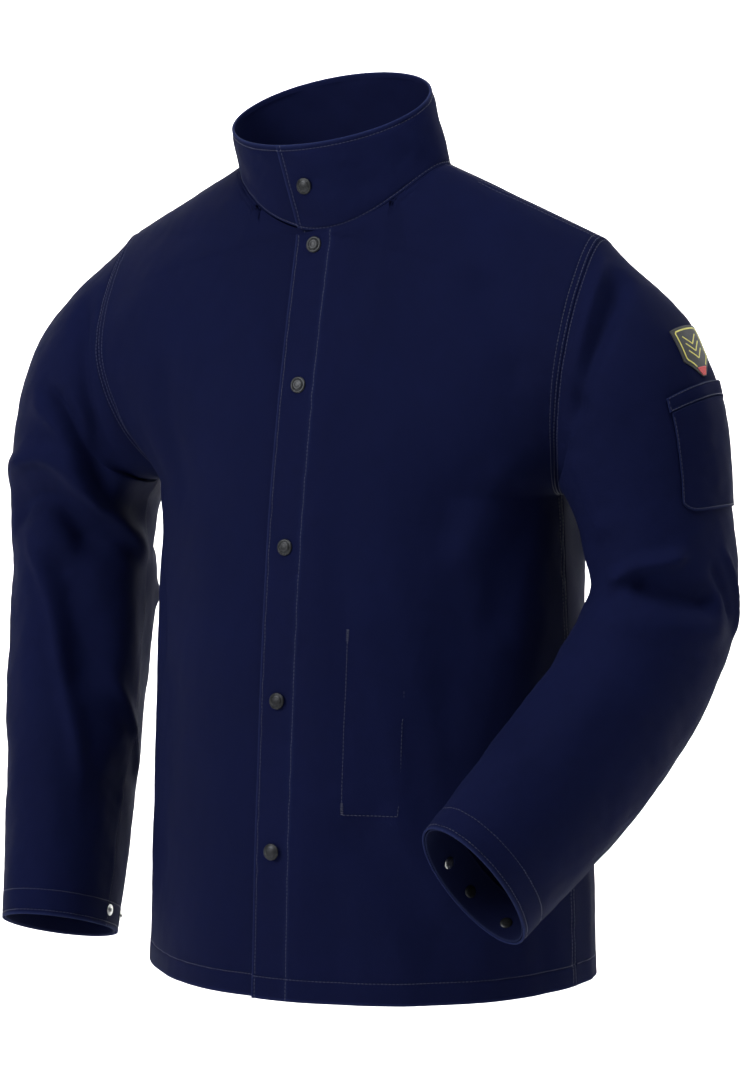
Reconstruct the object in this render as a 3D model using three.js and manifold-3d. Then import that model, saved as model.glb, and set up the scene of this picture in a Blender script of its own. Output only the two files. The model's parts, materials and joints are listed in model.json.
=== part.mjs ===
// Work jacket, hanging as if worn: closed front with snap placket, stand-up collar, set-in sleeves.
// Units are millimetres, +Z is up, the wearer faces -Y and the wearer's left is +X.
// The origin is on the middle plane, level with the side-neck points, inside the neck opening.
import * as THREE from "three";
import { mergeVertices } from "three/addons/utils/BufferGeometryUtils.js";
import Module from "manifold-3d";

const wasm = await Module();
wasm.setup();

// driving dimensions
const hemZ = -739;
const armpitZ = -290;
const hemHalf = 216;
const chestHalf = 205;
const shoulderHalf = 247;
const shoulderZ = -60;
const frontDepth = 187;
const backDepth = 172;
const closureX = 8;
const placketEdge = 20;
const facingWidth = 37;
const wall = 2.0;
const facingWall = 1.6;
const collarWall = 3.0;
const collarHalf = 99;
const collarDepth = 62;
const collarRimZ = 56;
const snapRadius = 7.5;
const snapDrops = [69, 193, 336, 472, 606];
const cuffBand = 40;
const pocketLow = -570;
const pocketTop = -405;
const pocketNear = 70;
const pocketFar = 117;
const seam = 0.3;
const facingGap = 0.45;

const fabricNavy = new THREE.Color().setRGB(0.012, 0.014, 0.052);
const facingNavy = new THREE.Color().setRGB(0.010, 0.012, 0.044);
const gunmetal = new THREE.Color().setRGB(0.045, 0.047, 0.05);
const brightSteel = new THREE.Color().setRGB(0.62, 0.62, 0.6);
const black = new THREE.Color().setRGB(0.008, 0.008, 0.009);
const fabric = new THREE.MeshStandardMaterial({ color: fabricNavy, roughness: 0.86, metalness: 0 });
const facing = new THREE.MeshStandardMaterial({ color: facingNavy, roughness: 0.9, metalness: 0 });
const dark = new THREE.MeshStandardMaterial({ color: gunmetal, roughness: 0.35, metalness: 0.9 });
const bright = new THREE.MeshStandardMaterial({ color: brightSteel, roughness: 0.3, metalness: 0.95 });
const badgeCloth = new THREE.MeshStandardMaterial({ color: black, roughness: 0.7, metalness: 0 });

const group = new THREE.Group();

// small vector helpers on plain arrays
const add = (p, q, k = 1) => [p[0] + q[0] * k, p[1] + q[1] * k, p[2] + q[2] * k];
const mul = (p, k) => [p[0] * k, p[1] * k, p[2] * k];
const dot = (p, q) => p[0] * q[0] + p[1] * q[1] + p[2] * q[2];
const cross = (p, q) => [
  p[1] * q[2] - p[2] * q[1],
  p[2] * q[0] - p[0] * q[2],
  p[0] * q[1] - p[1] * q[0],
];
const unit = (p) => mul(p, 1 / Math.hypot(p[0], p[1], p[2]));
const mix = (p, q, k) => add(mul(p, 1 - k), q, k);
const clamp = (t) => Math.min(1, Math.max(0, t));
const ease = (t) => clamp(t) ** 2 * (3 - 2 * clamp(t));

// Catmull-Rom curve through evenly spaced knots, t from 0 to 1
function curve(knots, t) {
  const n = knots.length - 1;
  const u = clamp(t) * n;
  const i = Math.min(Math.floor(u), n - 1);
  const f = u - i;
  const p1 = knots[i];
  const p2 = knots[i + 1];
  const p0 = i > 0 ? knots[i - 1] : p1.map((x, k) => 2 * x - p2[k]);
  const p3 = i < n - 1 ? knots[i + 2] : p2.map((x, k) => 2 * x - p1[k]);
  return p1.map((x, k) => {
    const line = p2[k] - p0[k];
    const bend = 2 * p0[k] - 5 * x + 4 * p2[k] - p3[k];
    const twist = 3 * x - p0[k] - 3 * p2[k] + p3[k];
    return 0.5 * (2 * x + line * f + bend * f * f + twist * f * f * f);
  });
}

// smooth value at x of a profile given by [x, value] knots with x rising
function profile(knots, x) {
  const n = knots.length;
  const slope = knots.map((k, i) => {
    if (i === 0) return (knots[1][1] - k[1]) / (knots[1][0] - k[0]);
    if (i === n - 1) return (k[1] - knots[i - 1][1]) / (k[0] - knots[i - 1][0]);
    const low = k[0] - knots[i - 1][0];
    const high = knots[i + 1][0] - k[0];
    const before = (k[1] - knots[i - 1][1]) / low;
    const after = (knots[i + 1][1] - k[1]) / high;
    return (before * high + after * low) / (low + high);
  });
  const at = Math.min(Math.max(x, knots[0][0]), knots[n - 1][0]);
  let i = 0;
  while (i < n - 2 && at > knots[i + 1][0]) i += 1;
  const h = knots[i + 1][0] - knots[i][0];
  const f = (at - knots[i][0]) / h;
  return (
    knots[i][1] * (1 + 2 * f) * (1 - f) ** 2 +
    h * slope[i] * f * (1 - f) ** 2 +
    knots[i + 1][1] * f * f * (3 - 2 * f) +
    h * slope[i + 1] * f * f * (f - 1)
  );
}

// body surface profiles
const frontY = [
  [hemZ, -frontDepth],
  [-600, -181],
  [-450, -169],
  [-300, -152],
  [-170, -129],
  [-60, -104],
];
const backY = [
  [hemZ, backDepth],
  [-600, 166],
  [-400, 158],
  [-220, 142],
  [-100, 100],
  [0, 12],
];
const sideX = [
  [hemZ, hemHalf],
  [-600, 213],
  [-450, 209],
  [armpitZ, chestHalf],
];
const sideY = [
  [hemZ, 6],
  [-600, 4],
  [-450, 2],
  [armpitZ, -5],
];
const neckPit = [closureX, -104, -54];
const neckSide = [106, -42, 5];
const nape = [0, 14, 8];
const frontHole = [
  [chestHalf, -5, armpitZ],
  [226, -60, -246],
  [243, -84, -175],
  [shoulderHalf, -58, -104],
  [shoulderHalf, -10, shoulderZ],
];
const backHole = [
  [chestHalf, -5, armpitZ],
  [226, 48, -244],
  [243, 68, -176],
  [shoulderHalf, 44, -104],
  [shoulderHalf, -10, shoulderZ],
];
const vArm = 0.6;
const vNeckFront = 13 / 15;
const vNeckBack = 14 / 15;
const armholeSteps = 12;

// armhole edge as a run of short straight seams, t 0 at the armpit and 1 at the shoulder
function armhole(front, side, t) {
  const own = front ? frontHole : backHole;
  const other = front ? backHole : frontHole;
  const knots = [other[1], ...own, other[3]];
  const point = (k) => curve(knots, (1 + (k / armholeSteps) * 4) / 6);
  const u = clamp(t) * armholeSteps;
  const i = Math.min(Math.floor(u), armholeSteps - 1);
  const p = mix(point(i), point(i + 1), u - i);
  return [p[0] * side, p[1], p[2]];
}

// neckline from the pit or the nape (t 0) to the side-neck point (t 1)
function neckline(front, side, t) {
  const c = front ? neckPit : nape;
  const a = (t * Math.PI) / 2;
  const rise = front ? Math.sin(a) ** 2 : t;
  return [
    c[0] + (neckSide[0] * side - c[0]) * Math.sin(a),
    c[1] + (neckSide[1] - c[1]) * (1 - Math.cos(a)),
    c[2] + (neckSide[2] - c[2]) * rise,
  ];
}

// body surface: s 0 at the centre and 1 at the side, v 0 at the hem and 1 at the shoulder seam
function body(front, side, s, v) {
  const vNeck = front ? vNeckFront : vNeckBack;
  const centre = front ? neckPit : nape;
  const low = clamp(v / vArm);
  const up = clamp((v - vArm) / (vNeck - vArm));
  const depth = (z) => profile(front ? frontY : backY, z);
  const zc = hemZ + (armpitZ - hemZ) * low + (centre[2] - armpitZ) * up;
  let left = [centre[0], depth(zc), zc];
  if (v > vNeck) left = neckline(front, side, (v - vNeck) / (1 - vNeck));
  const zs = hemZ + (armpitZ - hemZ) * low;
  let right = [side * profile(sideX, zs), profile(sideY, zs), zs];
  if (v > vArm) right = armhole(front, side, (v - vArm) / (1 - vArm));
  const k = ease((v - vArm) / (1 - vArm));
  const a = (s * Math.PI) / 2;
  const fx = Math.sin(a) * (1 - k) + s * k;
  const fade = 1 - ease((v - vNeck) / (1 - vNeck));
  const soft = 0.2 * fade;
  const even = (Math.hypot(s, soft) - soft) / (Math.hypot(1, soft) - soft);
  const fy = (1 - Math.cos(a)) * (1 - k) + even * k;
  const fz = s * s * (1 - k) + Math.abs(s) * k;
  const z = left[2] + (right[2] - left[2]) * fz;
  const chord = depth(left[2]) * (1 - fy) + depth(right[2]) * fy;
  const y = left[1] + (right[1] - left[1]) * fy + (depth(z) - chord) * fade;
  return [left[0] + (right[0] - left[0]) * fx, y, z];
}

// collar surface: s 0 at the closure line and 1 at the centre back, h 0 at the seam and 1 at the rim
function collar(side, s, h) {
  const base = s < 0.5 ? neckline(true, side, s * 2) : neckline(false, side, 2 - 2 * s);
  const a = s * Math.PI;
  const x = side * collarHalf * Math.sin(a);
  const y = -collarDepth * Math.cos(a);
  const rim = [x - 10, y - 50, collarRimZ + 0.54 * y + 0.06 * x];
  return mix(base, rim, h);
}

const arms = {
  left: {
    side: 1,
    line: [
      [226, -8, -175],
      [270, -6, -208],
      [294, 0, -300],
      [306, -10, -392],
      [289, -66, -474],
      [260, -142, -546],
      [228, -214, -613],
    ],
    wide: [[76], [84], [84], [84], [84], [81], [76]],
    thick: [[116], [92], [66], [62], [60], [57], [50]],
  },
  right: {
    side: -1,
    line: [
      [-226, -8, -175],
      [-284, -4, -214],
      [-317, 4, -302],
      [-323, 10, -408],
      [-325, -2, -512],
      [-317, -28, -617],
      [-306, -62, -722],
    ],
    wide: [[76], [84], [84], [82], [80], [76], [70]],
    thick: [[116], [92], [68], [62], [58], [54], [48]],
  },
};

// sleeve surface: th 0 outside, pi/2 in front, pi under the arm; u 0 at the armhole and 1 at the cuff
function sleeve(arm, th, u) {
  const { side, line, wide, thick } = arm;
  const middle = curve(line, u);
  const run = unit(add(curve(line, u + 0.05), curve(line, u - 0.05), -1));
  const ref = [side, 0, 0];
  let out = unit(add(ref, run, -dot(run, ref)));
  let fore = mul(cross(out, run), -side);
  const k = 1 - ease(u / 0.36);
  const top = unit([side * 0.18, 0, 0.98]);
  out = unit(mix(out, top, k));
  fore = unit(mix(fore, [0, -1, 0], k));
  const w = curve(wide, u)[0];
  const t = curve(thick, u)[0];
  let p = add(middle, out, Math.cos(th) * t);
  p = add(p, fore, Math.sin(th) * w);
  const f = clamp(1 - u / 0.25) ** 2;
  if (f === 0) return p;
  const turn = ((th % (2 * Math.PI)) + 2 * Math.PI) % (2 * Math.PI);
  const before = turn <= Math.PI;
  const ring = armhole(before, side, before ? 1 - turn / Math.PI : turn / Math.PI - 1);
  let flat = add(line[0], top, Math.cos(th) * thick[0][0]);
  flat = add(flat, [0, -1, 0], Math.sin(th) * wide[0][0]);
  return add(p, add(ring, flat, -1), f);
}

// point and outward normal of a surface given as f(a, b), with sign for the facing
function frameOf(f, a, b, sign) {
  const e = 1e-3;
  const da = add(f(a + e, b), f(a - e, b), -1);
  const db = add(f(a, b + e), f(a, b - e), -1);
  return { p: f(a, b), n: mul(unit(cross(da, db)), sign) };
}

function meshOf(name, geometry, material) {
  const mesh = new THREE.Mesh(geometry, material);
  mesh.name = name;
  group.add(mesh);
  return mesh;
}

function signedVolume(points, faces) {
  let total = 0;
  for (const [i, j, k] of faces) total += dot(points[i], cross(points[j], points[k])) / 6;
  return total;
}

function geometryOf(points, faces) {
  const turned = signedVolume(points, faces) < 0 ? faces.map(([i, j, k]) => [i, k, j]) : faces;
  const geometry = new THREE.BufferGeometry();
  geometry.setAttribute("position", new THREE.Float32BufferAttribute(points.flat(), 3));
  geometry.setIndex(turned.flat());
  return geometry;
}

// cloth slab between two offsets of a surface over a grid; place(i, j) gives { p, n, outer, inner }
function slab(na, nb, place, closed = false) {
  const columns = closed ? na : na + 1;
  const points = [];
  for (const key of ["outer", "inner"]) {
    for (let j = 0; j <= nb; j += 1) {
      for (let i = 0; i < columns; i += 1) {
        const q = place(i / na, j / nb);
        points.push(add(q.p, q.n, q[key]));
      }
    }
  }
  const half = columns * (nb + 1);
  const faces = [];
  const quad = (a, b, c, d) => faces.push([a, b, c], [a, c, d]);
  const id = (i, j) => j * columns + (i % columns);
  for (let j = 0; j < nb; j += 1) {
    for (let i = 0; i < na; i += 1) {
      quad(id(i, j), id(i + 1, j), id(i + 1, j + 1), id(i, j + 1));
      quad(half + id(i, j), half + id(i, j + 1), half + id(i + 1, j + 1), half + id(i + 1, j));
    }
  }
  for (let i = 0; i < na; i += 1) {
    quad(id(i + 1, 0), id(i, 0), half + id(i, 0), half + id(i + 1, 0));
    quad(id(i, nb), id(i + 1, nb), half + id(i + 1, nb), half + id(i, nb));
  }
  if (!closed) {
    for (let j = 0; j < nb; j += 1) {
      quad(id(0, j), id(0, j + 1), half + id(0, j + 1), half + id(0, j));
      quad(id(na, j + 1), id(na, j), half + id(na, j), half + id(na, j + 1));
    }
  }
  return geometryOf(points, faces);
}

function solidOf(geometry) {
  const bare = geometry.clone();
  bare.deleteAttribute("normal");
  bare.deleteAttribute("uv");
  const whole = mergeVertices(bare, 1e-4);
  return new wasm.Manifold(
    new wasm.Mesh({
      numProp: 3,
      vertProperties: new Float32Array(whole.attributes.position.array),
      triVerts: new Uint32Array(whole.index.array),
    }),
  );
}

// geometry with round holes at the given frames
function punched(geometry, frames, radius) {
  let solid = solidOf(geometry);
  for (const { p, n } of frames) {
    const drill = new THREE.CylinderGeometry(radius, radius, 30, 8);
    const turn = new THREE.Quaternion().setFromUnitVectors(
      new THREE.Vector3(0, 1, 0),
      new THREE.Vector3(...n),
    );
    drill.applyQuaternion(turn);
    drill.translate(...p);
    solid = solid.subtract(solidOf(drill));
  }
  const cut = solid.getMesh();
  const result = new THREE.BufferGeometry();
  const flat = Array.from(cut.vertProperties);
  result.setAttribute("position", new THREE.Float32BufferAttribute(flat, 3));
  result.setIndex(Array.from(cut.triVerts));
  return result;
}

// turned piece on a frame; the profile is [radius, height] pairs with height along the normal
function turnedPiece(name, pairs, material, frame, segments = 10) {
  const points = pairs.map(([r, h]) => new THREE.Vector2(r, h));
  const geometry = new THREE.LatheGeometry(points, segments);
  const mesh = meshOf(name, geometry, material);
  mesh.position.set(...frame.p);
  mesh.quaternion.setFromUnitVectors(new THREE.Vector3(0, 1, 0), new THREE.Vector3(...frame.n));
}

// fold line where each front opens: x at height z
const foldHemX = 150;
const foldNeck = 0.5;
const foldV = vNeckFront + (1 - vNeckFront) * foldNeck;
function foldX(side, z) {
  const top = neckline(true, side, foldNeck);
  const t = (top[2] - z) / (top[2] - hemZ);
  return top[0] + (side * foldHemX - top[0]) * t;
}

function bisect(f, low, high) {
  let a = low;
  let b = high;
  for (let i = 0; i < 40; i += 1) {
    const m = (a + b) / 2;
    if (f(m) < 0) a = m;
    else b = m;
  }
  return (a + b) / 2;
}

// s of the fold line at v, and the v where it meets the neckline
function foldS(side, v) {
  const past = (s) => {
    const p = body(true, side, s, v);
    return side * (p[0] - foldX(side, p[2]));
  };
  return v >= foldV || past(0) >= 0 ? 0 : bisect(past, 0, 0.95);
}

// s where the front lies at a signed distance dx from the closure line
const closureS = (side, dx, v) => {
  const p = (s) => side * (body(true, side, s, v)[0] - closureX) - dx;
  return bisect(p, -0.4, 0.95);
};

const frontFrame = (side, s, v) => frameOf((a, b) => body(true, side, a, b), s, v, side);
const collarFrame = (side, s, h) => frameOf((a, b) => collar(side, a, b), s, h, side);
const sleeveFrame = (arm, th, u) => frameOf((a, b) => sleeve(arm, a, b), th, u, arm.side);

// how far the outer face of a front stands off the body surface near the closure
const overLift = 4.2;
const underLift = -2.4;
const lift = (side, dx, over = overLift) =>
  (side > 0 ? over : underLift) * (1 - ease((dx - 24) / 40));

// back of the body, one piece over both sides
const lowRows = [0, 0.13, 0.26, 0.38, 0.5];
const armRows = [...Array(armholeSteps + 1).keys()].map((k) => vArm + ((1 - vArm) * k) / armholeSteps);
const neckColumns = 8;
const seamColumns = 5;
const ridgeGap = 0.0014;
const sideGap = (v) => (v > vArm ? 0.004 : 0.0016);
const backTop = (a) => {
  const edge = neckColumns / (neckColumns + seamColumns);
  if (a < edge) return [0.003, vNeckBack + ((1 - vNeckBack) * a) / edge];
  return [0.003 + ((a - edge) / (1 - edge)) * 0.997, 1];
};
const backRows = [...lowRows, ...armRows];
function backPlace(a, b) {
  const side = a < 0.5 ? -1 : 1;
  const out = Math.abs(2 * a - 1);
  const [ts, tv] = backTop(out);
  const row = backRows[Math.round(b * (backRows.length - 1))];
  const s = Math.min((1 - row) * out + row * ts * Math.min(1, out * 13), 1 - sideGap(row));
  const v = Math.min(row * (tv - 0.001 * (1 - out)), 1 - ridgeGap);
  const f = (x, y) => body(false, side, x, y);
  const { p, n } = frameOf(f, s, v, -side);
  return { p, n, outer: 0, inner: -wall };
}
meshOf("back_panel", slab(2 * (neckColumns + seamColumns), backRows.length - 1, backPlace), fabric);

// side fronts, between the fold line and the side seam
for (const [name, side] of [["left_side_front", 1], ["right_side_front", -1]]) {
  const between = armRows.slice(8, -1).map((v) => v + (1 - vArm) / armholeSteps / 2);
  const rows = [...lowRows, ...armRows, ...between].sort((p, q) => p - q);
  const place = (a, b) => {
    const row = rows[Math.round(b * (rows.length - 1))];
    const v = Math.min(row, 1 - ridgeGap);
    const start = foldS(side, v) + 0.003;
    const s = start + (1 - sideGap(v) - start) * a;
    const { p, n } = frontFrame(side, s, v);
    return { p, n, outer: lift(side, side * (p[0] - closureX)), inner: -wall };
  };
  meshOf(name, slab(9, rows.length - 1, place), fabric);
}

// the opening part of a front, from the placket edge to the fold line
function flapPlace(side, a, b) {
  const top = foldV - 0.0015;
  const edge0 = closureS(side, -placketEdge, 0);
  const edge1 = closureS(side, -placketEdge, vNeckFront - 0.001);
  const fold0 = foldS(side, 0) - 0.0012;
  const split = 0.12;
  const highV = vNeckFront - 0.0012;
  const t = clamp((a - split) / (1 - split));
  const ts = a < split ? edge1 + (0.0014 - edge1) * (a / split) : 0.0014;
  const tv = a < split ? highV : highV + (top - highV) * t;
  const foldAt = Math.max(foldS(side, b * top) - 0.0012, 0.0014);
  const edgeAt = edge0 + (edge1 - edge0) * b;
  const corner = (1 - a) * (1 - b) * edge0 + a * (1 - b) * fold0 + (1 - a) * b * edge1 + a * b * 0.0014;
  const s = (1 - b) * (edge0 + (fold0 - edge0) * a) + b * ts + (1 - a) * edgeAt + a * foldAt - corner;
  const v = b * tv + (1 - a) * b * highV + a * b * top - (1 - a) * b * highV - a * b * top;
  return frontFrame(side, s, v);
}
const flapColumns = [0, 0.06, ...[...Array(9).keys()].map((k) => 0.12 + 0.11 * k)];
const flapRows = [...[...Array(18).keys()].map((k) => k / 18), 0.955, 0.965, 0.975, 0.985, 1];
function flap(side) {
  const place = (a, b) => {
    const { p, n } = flapPlace(side, flapColumns[Math.round(a * 10)], flapRows[Math.round(b * 22)]);
    const rise = lift(side, side * (p[0] - closureX));
    return { p, n, outer: rise, inner: rise - wall };
  };
  return slab(10, 22, place);
}

// a strip along the placket edge, on the inner side of a front
function placketStrip(side, outer) {
  const place = (a, b) => {
    const v = 0.001 + flapRows[Math.round(b * 22)] * (vNeckFront - 0.004);
    const s = closureS(side, -placketEdge + 0.5 + a * facingWidth, v);
    const { p, n } = frontFrame(side, s, v);
    return { p, n, outer, inner: outer - facingWall };
  };
  return slab(3, 22, place);
}

// snap positions: five down the front and one on the collar
const neckCurl = 0.8;
const snapFrames = snapDrops.map((drop) => {
  const v = bisect((x) => body(true, 1, 0, x)[2] + drop, 0, vNeckFront);
  return frontFrame(1, 0, v);
});
snapFrames.unshift(collarFrame(1, 0.0, 0.52));
const frontSnaps = snapFrames.slice(1);
const collarSnaps = snapFrames.slice(0, 1);

// collar quarter that opens with a front; the left one lies over the right one
const collarFold = foldNeck / 2;
function collarFlap(side) {
  const start = -Math.asin(placketEdge / collarHalf) / Math.PI;
  const columns = [start, start / 2, ...[...Array(9).keys()].map((k) => (collarFold * k) / 8)];
  const place = (a, b) => {
    const s = Math.min(columns[Math.round(a * 10)], collarFold - 0.0015);
    const start0 = side > 0 ? 0.03 : 0.011;
    const { p, n } = collarFrame(side, s, start0 + (1 - start0) * b);
    const rise = lift(side, side * (p[0] - closureX + 18 * b), 3.4);
    return { p, n, outer: rise, inner: rise - collarWall };
  };
  return slab(10, 5, place);
}
const collarBackPlace = (a, b) => {
  const side = a < 0.5 ? 1 : -1;
  const s = 1 - Math.abs(2 * a - 1) * (1 - collarFold - 0.0012);
  const { p, n } = collarFrame(side, s, 0.011 + 0.989 * b);
  return { p, n, outer: 0, inner: -collarWall };
};
meshOf("collar_back", slab(24, 4, collarBackPlace), fabric);

const flaps = [
  { side: 1, panel: "left_front_panel", strip: "left_placket_facing", neck: "collar_left", hole: 2.4 },
  { side: -1, panel: "right_front_panel", strip: "right_placket_facing", neck: "collar_right", hole: 2.0 },
];
for (const { side, panel, strip, neck, hole } of flaps) {
  const outer = (side > 0 ? overLift : underLift) - wall - facingGap;
  meshOf(panel, punched(flap(side), frontSnaps, hole), fabric);
  meshOf(strip, punched(placketStrip(side, outer), frontSnaps, hole), facing);
  meshOf(neck, punched(collarFlap(side), collarSnaps, hole), fabric);
}

// narrow pocket sewn inside the left front
const pocketPlace = (a, b) => {
  const z = pocketLow + (pocketTop - pocketLow) * b;
  const v = bisect((x) => body(true, 1, 0.3, x)[2] - z, 0, vNeckFront);
  const s = closureS(1, pocketNear - closureX + (pocketFar - pocketNear) * a, v);
  const { p, n } = frontFrame(1, s, v);
  const face = lift(1, p[0] - closureX) - wall - seam;
  return { p, n, outer: face, inner: face - 1.5 };
};
meshOf("inside_pocket", slab(5, 8, pocketPlace), facing);

// front snaps: domed cap and socket on the left front, stud and back post on the right front
snapFrames.forEach((frame, i) => {
  const onCollar = i === 0;
  const outerFace = onCollar ? 3.4 : overLift;
  const stack = wall + facingGap + facingWall;
  const innerFace = onCollar ? 0.4 : overLift - stack;
  const underBack = onCollar ? underLift - collarWall : underLift - stack;
  const curl = i === 1 ? neckCurl : 0;
  const base = outerFace + seam + curl;
  const cap = [
    [0, innerFace],
    [2, innerFace],
    [2, base],
    [snapRadius - 0.3, base],
    [snapRadius, base + 0.6],
    [snapRadius * 0.86, base + 1.7],
    [snapRadius * 0.5, base + 2.6],
    [0, base + 2.9],
  ];
  turnedPiece(`snap_cap_${i + 1}`, cap, dark, frame, 12);
  const plate = i === 1 ? 3.6 : 5.5;
  const top = innerFace - seam;
  const socket = [
    [2.6, top],
    [plate, top],
    [plate, top - 1.1],
    [2.6, top - 1.1],
    [2.6, top],
  ];
  turnedPiece(`snap_socket_${i + 1}`, socket.reverse(), bright, frame);
  const stud = [
    [0, underBack],
    [1.6, underBack],
    [1.6, underLift + seam],
    [plate, underLift + seam],
    [plate, underLift + seam + 0.5],
    [1.9, underLift + seam + 0.5],
    [1.9, underLift + seam + 1.6],
    [0, underLift + seam + 1.6],
  ];
  turnedPiece(`snap_stud_${i + 1}`, stud, bright, frame);
  const post = [
    [0, underBack - seam - 0.9],
    [plate - 0.5, underBack - seam - 0.9],
    [plate, underBack - seam - 0.4],
    [plate, underBack - seam],
    [0, underBack - seam],
  ];
  turnedPiece(`snap_post_${i + 1}`, post, dark, frame);
});

// sleeves: upper tube, elbow section and lower tube, with a facing band inside the cuff
const elbow = { left: [0.44, 0.59], right: [0.42, 0.6] };
const tubeColumns = 24;
function tube(arm, from, to, rows, outer, inner) {
  const place = (a, b) => {
    const { p, n } = sleeveFrame(arm, a * 2 * Math.PI, from + (to - from) * b);
    return { p, n, outer, inner };
  };
  return slab(tubeColumns, rows, place, true);
}
for (const [name, arm] of Object.entries(arms)) {
  const [from, to] = elbow[name];
  const lastRun = Math.hypot(...add(arm.line[6], arm.line[5], -1)) * 6;
  const cuffU = cuffBand / lastRun;
  const gapU = seam / lastRun;
  const onFacet = (deg) => {
    const u = 1 - 16 / lastRun;
    const half = 180 / tubeColumns;
    const low = sleeveFrame(arm, ((deg - half) * Math.PI) / 180, u);
    const high = sleeveFrame(arm, ((deg + half) * Math.PI) / 180, u);
    return { p: mix(low.p, high.p, 0.5), n: unit(add(low.n, high.n)) };
  };
  const studFrames = [187.5, 217.5].map(onFacet);
  const capFrame = onFacet(262.5);
  const holes = [...studFrames, capFrame];
  meshOf(`${name}_sleeve_upper`, tube(arm, 0.0024, from, 8, 0, -wall), fabric);
  meshOf(`${name}_sleeve_elbow`, tube(arm, from + gapU, to - gapU, 4, 0, -wall), fabric);
  meshOf(`${name}_sleeve_lower`, punched(tube(arm, to, 1, 4, 0, -wall), holes, 2.2), fabric);
  const band = tube(arm, 1 - cuffU, 1 - gapU, 1, -wall - seam, -wall - seam - facingWall);
  meshOf(`${name}_cuff_facing`, punched(band, holes, 2.2), facing);
  const inside = -wall - seam - facingWall;
  studFrames.forEach((frame, i) => {
    const stud = [
      [0, inside - 1.2],
      [5.0, inside - 1.2],
      [5.0, inside - seam],
      [1.8, inside - seam],
      [1.8, seam],
      [5.5, seam],
      [5.5, seam + 0.7],
      [2.6, seam + 0.8],
      [2.6, seam + 2.0],
      [0, seam + 2.2],
    ];
    turnedPiece(`${name}_cuff_stud_${i + 1}`, stud, bright, frame);
  });
  const cap = [
    [0, inside - 1.8],
    [4.6, inside - 1.8],
    [4.6, inside - seam],
    [1.8, inside - seam],
    [1.8, seam],
    [snapRadius - 0.3, seam],
    [snapRadius, seam + 0.6],
    [snapRadius * 0.86, seam + 1.7],
    [snapRadius * 0.5, seam + 2.6],
    [0, seam + 2.9],
  ];
  turnedPiece(`${name}_cuff_cap`, cap, dark, capFrame, 12);
}

// patch on the left upper sleeve: a shape in th (degrees) and u, lying on the cloth
function patch(name, outline, gap, thickness, material, na, nb) {
  const place = (a, b) => {
    const [deg, u] = outline(a, b);
    const { p, n } = sleeveFrame(arms.left, (deg * Math.PI) / 180, u);
    return { p, n, outer: gap + thickness, inner: gap };
  };
  meshOf(name, slab(na, nb, place), material);
}

// sleeve pocket with a folded top band, and a plain shield badge above it
const pocketTurn = 37;
const pocketOutline = (a, b) => {
  const corner = 0.014 * Math.abs(2 * a - 1) ** 8;
  const low = 0.349 - corner;
  return [pocketTurn - 2 * pocketTurn * a, low + (0.2345 - low) * b];
};
patch("sleeve_pocket", pocketOutline, 0.75, 1.6, fabric, 8, 6);
const bandOutline = (a, b) => [pocketTurn + 1.5 - (2 * pocketTurn + 3) * a, 0.234 - 0.0125 * b];
patch("sleeve_pocket_band", bandOutline, 0.6, 2.4, fabric, 8, 1);
const badgeOutline = (a, b) => {
  const half = 16 * Math.min(1, 0.12 + 2.4 * b);
  return [1 + half * (1 - 2 * a), 0.2175 - 0.043 * b];
};
patch("sleeve_badge", badgeOutline, 0.3, 1.2, badgeCloth, 4, 5);

export default group;
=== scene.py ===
import bmesh
import bpy
import json
import math
import numpy as np
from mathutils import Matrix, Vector

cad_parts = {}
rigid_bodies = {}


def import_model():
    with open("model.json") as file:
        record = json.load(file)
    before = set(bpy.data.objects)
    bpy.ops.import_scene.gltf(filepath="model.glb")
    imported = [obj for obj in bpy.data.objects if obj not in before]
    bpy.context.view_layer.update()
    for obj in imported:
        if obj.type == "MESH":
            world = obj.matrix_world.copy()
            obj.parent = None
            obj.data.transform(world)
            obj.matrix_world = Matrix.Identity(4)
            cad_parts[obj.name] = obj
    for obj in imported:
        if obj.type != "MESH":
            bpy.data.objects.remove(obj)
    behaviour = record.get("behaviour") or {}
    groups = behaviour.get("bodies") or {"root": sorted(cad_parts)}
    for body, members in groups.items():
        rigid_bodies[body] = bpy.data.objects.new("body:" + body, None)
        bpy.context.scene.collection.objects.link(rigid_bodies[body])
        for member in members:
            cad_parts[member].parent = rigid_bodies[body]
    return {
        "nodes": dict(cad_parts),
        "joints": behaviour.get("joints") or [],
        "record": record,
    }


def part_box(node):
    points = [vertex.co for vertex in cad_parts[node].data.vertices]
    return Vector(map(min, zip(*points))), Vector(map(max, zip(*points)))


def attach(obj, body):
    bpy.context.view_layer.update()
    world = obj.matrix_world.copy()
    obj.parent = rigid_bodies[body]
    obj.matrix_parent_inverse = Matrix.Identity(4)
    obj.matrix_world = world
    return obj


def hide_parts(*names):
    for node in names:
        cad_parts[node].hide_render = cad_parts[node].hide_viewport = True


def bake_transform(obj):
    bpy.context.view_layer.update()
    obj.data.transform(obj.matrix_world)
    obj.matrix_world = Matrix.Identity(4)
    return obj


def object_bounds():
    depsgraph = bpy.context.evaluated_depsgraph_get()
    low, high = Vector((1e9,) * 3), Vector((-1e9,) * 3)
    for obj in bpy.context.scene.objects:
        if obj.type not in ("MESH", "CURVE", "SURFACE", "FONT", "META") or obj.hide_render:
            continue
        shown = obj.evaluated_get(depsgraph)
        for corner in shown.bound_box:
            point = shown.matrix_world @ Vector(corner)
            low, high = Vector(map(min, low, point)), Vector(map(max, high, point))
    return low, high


for leftover in list(bpy.data.objects):
    bpy.data.objects.remove(leftover)
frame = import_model()
cadLow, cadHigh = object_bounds()
record = frame["record"]
print("frame loaded:", len(frame["nodes"]), "nodes")

scene = bpy.context.scene
mm = 0.001


def middle(node):
    low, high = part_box(node)
    return np.array((low + high) / 2) / mm


# ---------- plain shape helpers, all in millimetres ----------

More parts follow.
